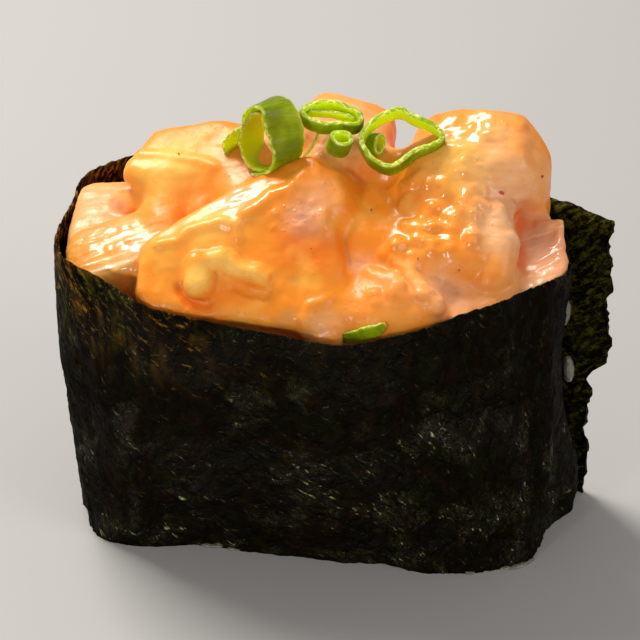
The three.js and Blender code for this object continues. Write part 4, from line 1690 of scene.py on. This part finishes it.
@dataclass(frozen=True)
class Wrinkle:
    """A crease or fold that runs along the strip for a part of its course, at a wavering height.

    height is how far it stands out, z and width are its height over the foot and how tall it is,
    share and reach its place on the course and how far it runs. Each waver is how far it goes up
    and down in millimetres, its pace along the course and its start.
    """

    height: float
    z: float
    width: float
    share: float
    reach: float
    wavers: tuple[tuple[float, float, float], ...]

    def relief(self, share: Array, z: Array) -> Array:
        """How far it pushes the strip out.

        Args:
            share: shares of the strip's course.
            z: heights.

        Returns:
            Millimetres outwards.
        """
        middle = self.z
        for size, pace, start in self.wavers:
            middle = middle + size * np.sin(share * pace + start)
        return self.height * bell(z, middle, self.width) * bell(share, self.share, self.reach)


@dataclass
class NoriStrip:
    """The strip of nori as a crumpled thin sheet with a torn end.

    Its outer side has three times as many rows as its inner side. Its end is torn off up to
    torn_share of the course, below a height between torn_from and torn_to, and it is free of the
    wall from a place between free_from and free_to.
    """

    length: float = 168.0
    columns: int = 700
    spans: int = 26
    quick_share: float = 0.6
    torn_share: float = 0.0125
    torn_from: float = 14.5
    torn_to: float = 17.0
    free_from: float = 0.945
    free_to: float = 0.965
    fibre_slant: float = 38.0
    nibble: float = 0.14
    deepest: float = 0.28
    pleat: float = 0.5
    wrinkles: tuple[Wrinkle, ...] = (
        Wrinkle(-0.55, 19.6, 0.55, 0.29, 0.05, ((0.5, 95.0, 0.0), (0.3, 230.0, 0.0))),
        Wrinkle(0.55, 16.9, 0.8, 0.352, 0.024, ((0.7, 110.0, 0.0),)),
        Wrinkle(0.3, 14.6, 0.6, 0.335, 0.02, ((0.9, 150.0, 1.0),)),
    )

    @property
    def fibre_turn(self) -> Array:
        """Turns the sheet's own directions to those along and across its fibres."""
        turn = math.radians(self.fibre_slant)
        along, across = (math.cos(turn), math.sin(turn), 0.0), (-math.sin(turn), math.cos(turn), 0.0)
        return np.array([along, across, (0.0, 0.0, 1.0)]).T

    def missing(self, z: Array) -> Array:
        """Share of the course that is torn off the flap's end at a height.

        Args:
            z: heights.

        Returns:
            Shares of the course.
        """
        ragged = Lattice(21)
        coarse = (2 + np.sin(z * 1.9) + np.sin(z * 0.83 + 1.2)) / 4
        fine = ragged.layered(np.column_stack([z * 0.9, z * 0, z * 0]), 4, 0.7)
        torn = self.torn_share * (1 - smooth(z, self.torn_from, self.torn_to))
        return torn + 0.0045 * coarse + 0.0016 * fine

    def nibbled(self, along: Array) -> Array:
        """How uneven the rim is."""
        place = np.column_stack([along * self.length * 0.7, along * 0, along * 0])
        return self.nibble * Lattice(8).layered(place, 4, 0.6)

    def crumple(self, sheet: Array) -> tuple[Array, Array]:
        """Folds and fine creases over the sheet, in millimetres.

        Args:
            sheet: places on the sheet, n by 3.

        Returns:
            The folds and the creases.
        """
        paper = Lattice(3)
        skewed = np.column_stack([sheet[:, 0] + 0.5 * sheet[:, 1], sheet[:, 1], sheet[:, 2]])
        folds = paper.ridged(skewed * [0.13, 0.10, 1], 3) - 0.55
        fibre = sheet @ self.fibre_turn
        creases = paper.ridged(fibre * [0.24, 0.5, 1] + 50, 3, 0.6) - 0.55
        fine = paper.layered(fibre * [0.6, 1.3, 1] + 90, 3, 0.6)
        low = 1 - smooth(sheet[:, 1], 10.0, 24.0)
        return 0.36 * folds, (0.15 + 0.14 * low) * creases + (0.05 + 0.03 * low) * fine

    def relief(self, sheet: Array, up: Array, face: Array) -> Array:
        """How far the sheet is pushed out of the wall's smooth course.

        Args:
            sheet: places on the sheet in millimetres.
            up: their shares of the strip's height.
            face: 1 on the outer side, -1 on the inner side.

        Returns:
            Millimetres, above 0 away from the boat.
        """
        share, z = sheet[:, 0] / self.length, sheet[:, 1]
        folds, creases = self.crumple(sheet)
        pleats = Lattice(17).ridged(np.column_stack([sheet[:, 0] * 0.34, z * 0.07, z * 0]), 2) - 0.55
        outside = folds + creases + self.pleat * pleats * bell(share, 0.31, 0.03) * smooth(z, 2.0, 6.0)
        for wrinkle in self.wrinkles:
            outside = outside + wrinkle.relief(share, z)
        free = smooth(share, self.free_from, self.free_to)
        inside = folds * np.maximum(free, 0.7 * smooth(up, 0.75, 1.0)) + creases * free
        # the strip is calm where it is tucked and where its flap begins
        loose = np.clip(1 - 0.8 * bell(share, 0.0, 0.1) - 0.6 * bell(share, 0.87, 0.05), 0, 1)
        return np.where(face > 0, np.maximum(outside, -self.deepest), inside) * loose

    @staticmethod
    def faces(columns: int, spans: int) -> tuple[Array, Array]:
        """The closed strip's faces, where each column is a ring of points.

        Args:
            columns: number of columns of points.
            spans: rows of faces on the inner side.

        Returns:
            The quads, and the triangles that close the strip's two ends with some of them.
        """
        ring = 4 * spans + 2
        base = np.arange(columns - 1) * ring
        foot = np.stack([base + ring - 1, base + 2 * ring - 1, base + ring, base], axis=1)
        quads, triangles = [grid_faces(columns, ring, False), foot], []
        for start, turned in ((0, True), ((columns - 1) * ring, False)):
            low = start + 3 * np.arange(spans)
            inside = start + ring - 1 - np.arange(spans)
            quad = np.stack([low + 1, low + 2, inside - 1, inside], axis=1)
            first = np.stack([low, low + 1, inside], axis=1)
            last = np.stack([low + 2, low + 3, inside - 1], axis=1)
            quads.append(quad[:, ::-1] if turned else quad)
            triangles += [part[:, ::-1] if turned else part for part in (first, last)]
        return np.concatenate(quads), np.concatenate(triangles)

    def looks(self, sheet: Array, up: Array, face: Array) -> dict[str, Array]:
        """The values that the finish reads.

        Args:
            sheet: places on the sheet.
            up: their shares of its height.
            face: 1 on the outer side, -1 on the inner side.

        Returns:
            The values by name.
        """
        share, z = sheet[:, 0] / self.length, sheet[:, 1]
        # where a glow of light from behind is painted: near the rim round the left end, and on the inner side
        rim_lit = smooth(up, 0.55, 0.95) * (bell(share, 0.57, 0.1) + bell(share, 0.72, 0.1))
        return {
            "sheet": sheet,
            "fibre": sheet @ self.fibre_turn,
            "flap": smooth(share, self.free_from, self.free_to),
            "lit": np.clip(rim_lit + 0.5 * (face < 0), 0, 1),
            # where glints are painted and the sheet is glossier: low on the wall and along the fold at the
            # front
            "glints": 1 - smooth(z, 6.0, 22.0) + 1.4 * bell(share, 0.35, 0.03) * bell(z, 16.7, 3.0),
        }

    def build(self, finish: Material) -> None:
        """Makes the strip: outer side up, then inner side down, closed all round.

        Args:
            finish: its material.
        """
        scale = 1
        columns, spans = int(self.columns * scale), int(self.spans * scale)
        outer, inner = np.linspace(0, 1, 3 * spans + 1), np.linspace(1, 0, spans + 1)
        along, up = (part.ravel() for part in np.meshgrid(
            np.linspace(0, 1, columns), np.concatenate([outer, inner]), indexing="ij"))
        face = np.tile(np.concatenate([np.ones(len(outer)), -np.ones(len(inner))]), columns)
        z = up * (WALL.rim.at(along)[:, 2] + self.nibbled(along))
        into_flap = np.clip((along - WALL.flap_start) / (1 - WALL.flap_start), 0, 1)
        share = along - self.missing(z) * into_flap
        sheet = np.column_stack([share * self.length, z, z * 0])
        # the rim thins to an edge
        half = WALL.thickness / 2 * (1 - 0.6 * smooth(up, 0.98, 1.0))
        points = WALL.at(share, z, face * half + self.relief(sheet, up, face))
        skin = Skin(points, *self.faces(columns, spans), self.looks(sheet, up, face))
        skin.piece("nori_strip", finish, Slot.NORI, "nori")


# ---- spring onion ----


@dataclass(frozen=True)
class Leaf:
    """A strip of hollow leaf carried along a path in its own plane.

    The path runs in the plane across the axis, by the long direction and the one square to it.
    far is its path at the other cut edge, where that differs. tall is how far the strip reaches
    along the axis, sway how far it wanders there, and narrow how much lower its open ends are.
    """

    name: str
    nodes: tuple[str, ...]
    at: Point
    axis: Point
    long: Point
    path: tuple[FlatPoint, ...]
    tall: float
    wall: float = 0.6
    closed: bool = True
    sway: float = 0.0
    narrow: float = 0.0
    seed: int = 0
    sides: int = 24
    pace: float = 0.13
    quick_pace: float = 1.6
    rests: bool = False
    far: tuple[FlatPoint, ...] = ()

    def loop(self, path: tuple[FlatPoint, ...]) -> Array:
        """A path as flat points, run a little over its start where the strip is closed."""
        flat = np.column_stack([np.array(path), np.zeros(len(path))])
        return np.vstack([flat[-2:], flat, flat[:2]]) if self.closed else flat

    def laid(self, heap: HeapField, proud: float = 0.12) -> Leaf:
        """A resting leaf, moved and turned so that its face lies on the heap.

        Args:
            heap: the heap's field.
            proud: how far over it the leaf's middle lies.

        Returns:
            The leaf, in its place.
        """
        if not self.rests:
            return self
        at = heap.dropped(np.array([self.at]), np.array([-proud]))
        face = heap.slope(at)[0]
        along = unit(np.array(self.long) - face * (np.array(self.long) @ face))
        return replace(self, at=tuple(at[0]), axis=tuple(np.cross(along, face)), long=tuple(along))

    def sizes(self, spot: Array) -> tuple[Array, Array, Array]:
        """The strip's uneven sizes along its path.

        Args:
            spot: flat points of the path.

        Returns:
            Half the wall, half the height and a wave of about -1 to 1, at each of them.
        """
        draw, steps = Lattice(30 + self.seed), len(spot)
        place = spot * [1.0, 1.0, 0.0]
        ridges = draw.layered(place * 1.7, 3)
        wave = draw.layered(place * 0.45 + 5, 2)
        wall = self.wall / 2 * (1 + 0.14 * draw.layered(place * 1.1 + 9, 2))
        tall = self.tall / 2 * (1 + 0.07 * ridges + 0.1 * wave)
        if not self.closed:
            ends = np.minimum(np.arange(steps), np.arange(steps)[::-1]) / 4
            wall = wall * np.clip(0.35 + 0.65 * ends, 0, 1)
            tall = tall * np.clip(0.75 + 0.25 * ends, 0, 1)
            tall = tall * (1 - self.narrow * np.abs(np.linspace(-1, 1, steps)) ** 2)
        return wall, tall, wave

    def faces(self, steps: int) -> Array:
        """Quads round the profile from each step of the path to the next, and over open ends.

        Args:
            steps: number of steps along the path.

        Returns:
            An array of quads.
        """
        sides = self.sides
        i, j = (part.ravel() for part in np.meshgrid(
            np.arange(steps if self.closed else steps - 1), np.arange(sides), indexing="ij"))
        k, m = (i + 1) % steps, (j + 1) % sides
        quads = [np.stack([i * sides + j, k * sides + j, k * sides + m, i * sides + m], axis=1)]
        if not self.closed:
            pair = np.arange(sides // 2 - 1)
            cap = np.stack([pair, pair + 1, sides - 2 - pair, sides - 1 - pair], axis=1)
            quads += [cap, cap[:, ::-1] + (steps - 1) * sides]
        return np.concatenate(quads)

    def skin(self) -> Skin:
        """The strip as a closed surface, with how far inside and how cut each point is.

        Returns:
            The surface, facing out.
        """
        up = unit(np.array(self.axis))
        side = unit(np.array(self.long) - up * (np.array(self.long) @ up))
        length = np.linalg.norm(np.diff(np.array(self.path), axis=0), axis=1).sum()
        steps = int(length / (self.pace * 1))
        shares = np.linspace(0, 1, steps)
        if self.closed:
            shares = (2 + np.arange(steps) / steps * len(self.path)) / (len(self.path) + 3)
        course, beyond = (SplineCourse(self.loop(path)) for path in (self.path, self.far or self.path))
        spot, ahead = course.at(shares), course.heading(shares)
        winding = np.sum(spot[:-1, 0] * spot[1:, 1] - spot[1:, 0] * spot[:-1, 1])
        out = np.column_stack([ahead[:, 1], -ahead[:, 0]]) * (1 if winding > 0 else -1)
        # the profile is a rounded box, nearly square at its cut edges
        angle = np.linspace(0, 2 * np.pi, self.sides, endpoint=False) + np.pi / self.sides
        across = np.sign(np.cos(angle)) * np.abs(np.cos(angle)) ** 0.45
        rise = np.sign(np.sin(angle)) * np.abs(np.sin(angle)) ** 0.35
        wall, tall, wave = self.sizes(spot)
        fluted = 1 + 0.05 * np.sin(shares * length * 9.0)[:, None] * np.clip(np.abs(rise) * 3 - 2, 0, 1)
        outward = wall[:, None] * across * fluted
        lift = tall[:, None] * rise + self.sway * wave[:, None]
        retreat = (beyond.at(shares) - spot)[:, None, :2] * ((1 - rise) / 2)[:, None]
        flat = spot[:, None, :2] + retreat + out[:, None] * outward[..., None]
        local = np.concatenate([flat, lift[..., None]], axis=-1).reshape(-1, 3)
        points = np.array(self.at) + local @ np.stack([side, np.cross(up, side), up])
        run = np.repeat(shares * length, self.sides)
        values = {
            "inside": np.tile(smooth(-across, 0.1, 0.8), steps),
            "cut": np.tile(smooth(np.abs(rise), 0.86, 0.99), steps),
            "vein": np.column_stack([run, lift.ravel(), np.tile(across, steps) * 0.4]),
        }
        return Skin(points, self.faces(steps), values=values).faced_out()


CURL_AT, CURL_AXIS, CURL_LONG = (-4.9, -0.6, 42.3), (-0.642, -0.764, 0.053), (0.774, -0.63, 0.06)
OPEN_AT, OPEN_AXIS, OPEN_LONG = (9.3, -0.7, 42.6), (0.05, -0.61, 0.8), (1.0, 0.15, 0.05)
FLAT_AT, FLAT_AXIS, FLAT_LONG = (1.8, 0.3, 44.1), (0.12, -0.3, 0.95), (0.98, 0.1, -0.1)

LEAVES: tuple[Leaf, ...] = (
    Leaf("onion_curl_leaf", ("onion_curl",), CURL_AT, CURL_AXIS, CURL_LONG, ((2.05, 3.7), (0.46, 3.47),
         (-0.8, 2.25), (-1.06, 1.07), (-2.57, -0.07), (-3.97, -1.53), (-3.87, -2.7), (-2.63, -3.5),
         (-0.4, -3.7), (1.6, -3.4), (3.3, -2.3), (3.7, -0.97), (3.2, 0.7), (2.5, 2.1)), tall=3.5, wall=0.42,
         sway=0.1, seed=1, far=((2.7, 3.9), (1.0, 4.0), (-0.7, 3.2), (-1.5, 1.9), (-2.6, 0.3), (-3.7, -1.2),
         (-3.7, -2.4), (-2.6, -3.3), (-0.4, -3.6), (1.2, -3.5), (2.9, -2.4), (4.3, -1.0), (4.6, 0.6),
         (4.2, 2.4))),
    Leaf("onion_curl_inner", (), CURL_AT, CURL_AXIS, CURL_LONG, ((2.2, -2.9), (0.4, -3.1), (-1.0, -2.4),
         (-1.6, -1.0), (-1.2, 0.5), (-0.5, 1.8), (0.5, 2.9), (1.7, 3.2)), tall=3.3, wall=0.35, closed=False,
         sway=0.1, narrow=0.1, seed=9),
    Leaf("onion_open_leaf", ("onion_open_ring",), OPEN_AT, OPEN_AXIS, OPEN_LONG, ((-3.85, 0.9), (-2.7, 2.2),
         (-1.2, 3.1), (0.1, 3.3), (1.4, 2.5), (3.1, 1.7), (3.9, 0.9), (4.15, 0.0), (3.1, -0.7), (1.5, -1.2),
         (0.0, -2.35), (-1.3, -2.9), (-2.7, -2.2), (-3.55, -1.0), (-3.95, 0.1)), tall=2.0, wall=0.6,
         sway=0.25, seed=2),
    Leaf("onion_flat_leaf", ("onion_flat_ring",), FLAT_AT, FLAT_AXIS, FLAT_LONG, ((-2.7, 0.3), (-2.1, 1.0),
         (-1.1, 1.6), (0.1, 1.9), (1.6, 1.5), (2.9, 0.9), (3.3, 0.1), (2.6, -0.7), (1.0, -0.8),
         (-0.6, -1.1), (-1.9, -0.7)), tall=1.5, wall=0.6, sway=0.2, seed=3),
    Leaf("onion_flat_fold", (), FLAT_AT, FLAT_AXIS, FLAT_LONG, ((-2.3, 0.3), (-1.3, 0.75), (-0.1, 0.9),
         (1.2, 0.7), (2.6, 0.4)), tall=0.9, wall=0.45, closed=False, sway=0.2, seed=6),
    Leaf("onion_small_leaf", ("onion_small_curl",), (3.4, -2.6, 43.0), (0.3, -0.35, 0.88), (1.0, 0.2, 0.0),
         ((0.95, 0.0), (0.6, 0.62), (-0.1, 0.8), (-0.85, 0.45), (-1.0, -0.1), (-0.6, -0.7), (0.2, -0.8),
         (0.8, -0.5)), tall=2.2, wall=0.5, sway=0.05, seed=4),
    Leaf("onion_tiny_leaf", ("onion_tiny_ring",), (6.6, 0.4, 41.7), (0.7, -0.6, 0.3), (0.2, 0.4, 0.9),
         ((0.95, 0.0), (0.65, 0.5), (0.0, 0.66), (-0.7, 0.5), (-0.98, 0.0), (-0.6, -0.5), (0.1, -0.68),
         (0.7, -0.45)), tall=1.5, wall=0.42, sway=0.05, seed=5),
    Leaf("onion_thread", (), (0.6, -1.6, 42.0), (0.3, -0.8, 0.5), (0.8, 0.4, 0.4), ((-1.6, -0.5),
         (-0.7, -0.2), (0.3, 0.3), (1.2, 1.0)), tall=0.35, wall=0.28, closed=False, narrow=0.3, seed=7,
         sides=12, pace=0.1),
    Leaf("onion_rim_leaf", ("onion_rim_sliver",), (7.6, -15.9, 29.0), (0.0, 0.5, 0.85), (1.0, 0.1, 0.5),
         ((-2.9, -0.2), (-1.4, 0.15), (0.3, 0.3), (1.6, 0.1), (2.7, -0.2)), tall=1.4, wall=0.5,
         closed=False, sway=0.2, narrow=0.5, seed=8, rests=True),
)


@dataclass
class SpringOnion:
    """The slices on top, the thread under them and the sliver at the front rim."""

    leaves: tuple[Leaf, ...] = LEAVES

    def build(self, finish: Material, heap: HeapField) -> None:
        """Makes every slice."""
        for leaf in self.leaves:
            leaf.laid(heap).skin().piece(leaf.name, finish, Slot.ONION, *leaf.nodes)


# ---- crumbs ----


def pebble(centre: Array, axes: Array, draw: Lattice, around: int = 14, rows: int = 9) -> Skin:
    """A closed uneven grain.

    Args:
        centre: its middle.
        axes: rows that reach from the middle to its skin.
        draw: the noise that makes it uneven.
        around: points in a ring.
        rows: rings between its two tips.

    Returns:
        The surface, facing out where the axes are right-handed.
    """
    turn = np.arange(around) / around * 2 * np.pi
    fall = np.linspace(0, np.pi, rows + 2)[1:-1]
    ring = np.stack([np.outer(np.cos(turn), np.sin(fall)), np.outer(np.sin(turn), np.sin(fall)),
                     np.outer(np.ones(around), -np.cos(fall))], axis=-1).reshape(-1, 3)
    ball = np.vstack([ring, (0.0, 0.0, -1.0), (0.0, 0.0, 1.0)])
    ball = ball * (1 + 0.16 * draw.layered(ball * 1.3 + centre * 3.1, 2))[:, None]
    low, high = around * rows, around * rows + 1
    here, after = np.arange(around) * rows, (np.arange(around) + 1) % around * rows
    tips = [np.stack([after, here, np.full(around, low)], axis=1),
            np.stack([here + rows - 1, after + rows - 1, np.full(around, high)], axis=1)]
    return Skin(centre + ball @ axes, grid_faces(around, rows, True), np.concatenate(tips))


@dataclass
class Crumbs:
    """Grains squeezed out under the strip's foot, and flakes of chilli in the sauce."""

    # each grain's share of the strip's course, height and half length
    foot: tuple[tuple[float, float, float], ...] = (
        (0.226, 0.14, 0.8), (0.240, 0.18, 1.3), (0.256, 0.12, 0.9), (0.300, 0.14, 0.5),
        (0.468, 0.12, 0.9), (0.480, 0.17, 1.3), (0.974, 0.3, 0.5), (0.980, 0.4, 0.4),
    )
    # each flake's place and half length
    flakes: tuple[tuple[Point, float], ...] = (
        ((19.3, -1.4, 38.9), 0.3), ((22.6, 0.3, 39.6), 0.16), ((12.4, -9.6, 34.4), 0.1),
        ((7.0, -5.0, 37.0), 0.12), ((-13.6, 0.2, 39.0), 0.1), ((1.8, -10.4, 35.0), 0.1),
        ((16.5, -10.2, 34.0), 0.12), ((4.9, 0.9, 38.6), 0.12),
    )
    grain_deep: float = 0.42
    flake_wide: float = 0.6
    flake_thick: float = 0.12
    flake_proud: float = 0.1
    turn: float = 2.4

    def build(self, glue: Material, chilli: Material, heap: HeapField) -> None:
        """Makes the grains and the flakes, each kind as one piece.

        Args:
            glue: the grains' finish.
            chilli: the flakes' finish.
            heap: the heap's field.
        """
        draw = Lattice(77)
        grains = []
        for share, z, half in self.foot:
            at = WALL.at(np.array([share]), np.array([z]), 0.2)[0]
            along = WALL.foot.heading(np.array([share]))[0]
            out = np.array([-along[1], along[0], 0.0])
            axes = np.stack([along * half, out * self.grain_deep, np.array([0.0, 0.0, z])])
            grains.append(pebble(at, axes, draw))
        joined(grains).piece("foot_rice", glue, Slot.RICE)
        flakes = []
        for order, (place, half) in enumerate(self.flakes):
            at = heap.dropped(np.array([place]), np.array([0.0]))
            face = heap.slope(at)[0]
            turn = order * self.turn
            along = unit(np.cross(face, [math.sin(turn), math.cos(turn), 0.3]))
            wide = np.cross(face, along) * half * self.flake_wide
            axes = np.stack([along * half, wide, face * self.flake_thick])
            flakes.append(pebble(at[0] + face * self.flake_proud, axes, draw, 10, 5))
        joined(flakes).piece("chilli_flakes", chilli, Slot.SAUCE)


# ---- studio ----


@dataclass(frozen=True)
class Lamp:
    """A soft square light that looks at the boat."""

    name: str
    place: Point
    size: float
    power: float
    colour: Colour


@dataclass(frozen=True)
class Studio:
    """Pale floor, soft lights and the camera, which stands right of the boat's front side."""

    azimuth: float = 9.0
    elevation: float = 30.0
    distance: float = 320.0
    target: Point = (1.0, 0.0, 21.0)
    lens: float = 172.8
    sensor: float = 36.0
    clip: tuple[float, float] = (0.01, 10.0)
    floor_half: float = 900.0
    floor_tone: Colour = (0.44, 0.43, 0.42)
    world_tone: Colour = (1.0, 0.985, 0.96)
    world_strength: float = 0.335
    lit_place: Point = (0.0, 0.0, 30.0)
    lamps: tuple[Lamp, ...] = (
        Lamp("key", (-196.0, 180.0, 400.0), 180.0, 2.5, (1.0, 0.96, 0.9)),
        Lamp("fill", (-170.0, -400.0, 90.0), 45.0, 0.48, (1.0, 0.97, 0.92)),
        Lamp("side", (330.0, -170.0, 220.0), 200.0, 0.48, (1.0, 0.97, 0.93)),
    )

    @staticmethod
    def aim(thing: bpy.types.Object, place: Array, target: Array) -> None:
        """Puts an object at a place in millimetres, looking at a target.

        Args:
            thing: the object.
            place: where it stands.
            target: where it looks.
        """
        back = unit(place - target)
        right = unit(np.cross([0.0, 0.0, 1.0], back))
        matrix = np.eye(4)
        matrix[:3] = np.stack([right, np.cross(back, right), back, place * MM], axis=1)
        thing.matrix_world = Matrix(matrix.tolist())

    def camera(self) -> None:
        """Makes the camera."""
        data = bpy.data.cameras.new("camera")
        data.lens, data.sensor_width = self.lens, self.sensor
        data.clip_start, data.clip_end = self.clip
        camera = linked("camera", data)
        a, e = math.radians(self.azimuth), math.radians(self.elevation)
        back = np.array([math.sin(a) * math.cos(e), -math.cos(a) * math.cos(e), math.sin(e)])
        target = np.array(self.target)
        self.aim(camera, target + back * self.distance, target)
        bpy.context.scene.camera = camera

    def light(self, lamp: Lamp) -> None:
        """Adds a lamp.

        Args:
            lamp: the lamp.
        """
        data = bpy.data.lights.new(lamp.name, "AREA")
        data.size, data.energy, data.color = lamp.size * MM, lamp.power, lamp.colour
        self.aim(linked(lamp.name, data), np.array(lamp.place), np.array(self.lit_place))

    def floor(self) -> None:
        """Makes the floor, which belongs to the studio and not to the object."""
        half = self.floor_half * MM
        corners = [(-half, -half, 0), (half, -half, 0), (half, half, 0), (-half, half, 0)]
        mesh = bpy.data.meshes.new("floor")
        mesh.from_pydata(corners, [], [(0, 1, 2, 3)])
        nodes = Nodes("pale_floor", Roughness=0.6)
        nodes.feed(Base_Color=self.floor_tone)
        mesh.materials.append(nodes.material)
        linked("floor", mesh)

    def build(self) -> None:
        """Makes the floor, the light from all round, the lamps and the camera."""
        self.floor()
        world = bpy.context.scene.world or bpy.data.worlds.new("world")
        bpy.context.scene.world = world
        world.use_nodes = True
        background = world.node_tree.nodes["Background"]
        background.inputs["Color"].default_value = (*self.world_tone, 1.0)
        background.inputs["Strength"].default_value = self.world_strength
        for lamp in self.lamps:
            self.light(lamp)
        bpy.context.scene.view_settings.view_transform = "Standard"
        self.camera()


def main() -> None:
    """Builds the sushi and its studio."""
    logging.basicConfig(level=logging.INFO, format="%(name)s %(message)s")
    sauce, nori, onion = SauceFinish().build(), NoriFinish().build(), OnionFinish().build()
    rice, glue, chilli = RiceFinish().build(), GlueFinish().build(), ChilliFinish().build()
    Studio().build()
    heap = SaucedFish().build(sauce)
    NoriStrip().build(nori)
    SpringOnion().build(onion, heap)
    Crumbs().build(glue, chilli, heap)
    finishes = {"fish_bed": sauce, "rice": rice, "rice_glue_upper": glue, "rice_glue_lower": glue}
    for node, finish in finishes.items():
        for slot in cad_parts[node].material_slots:
            slot.material = finish


if __name__ == "__main__":
    main()
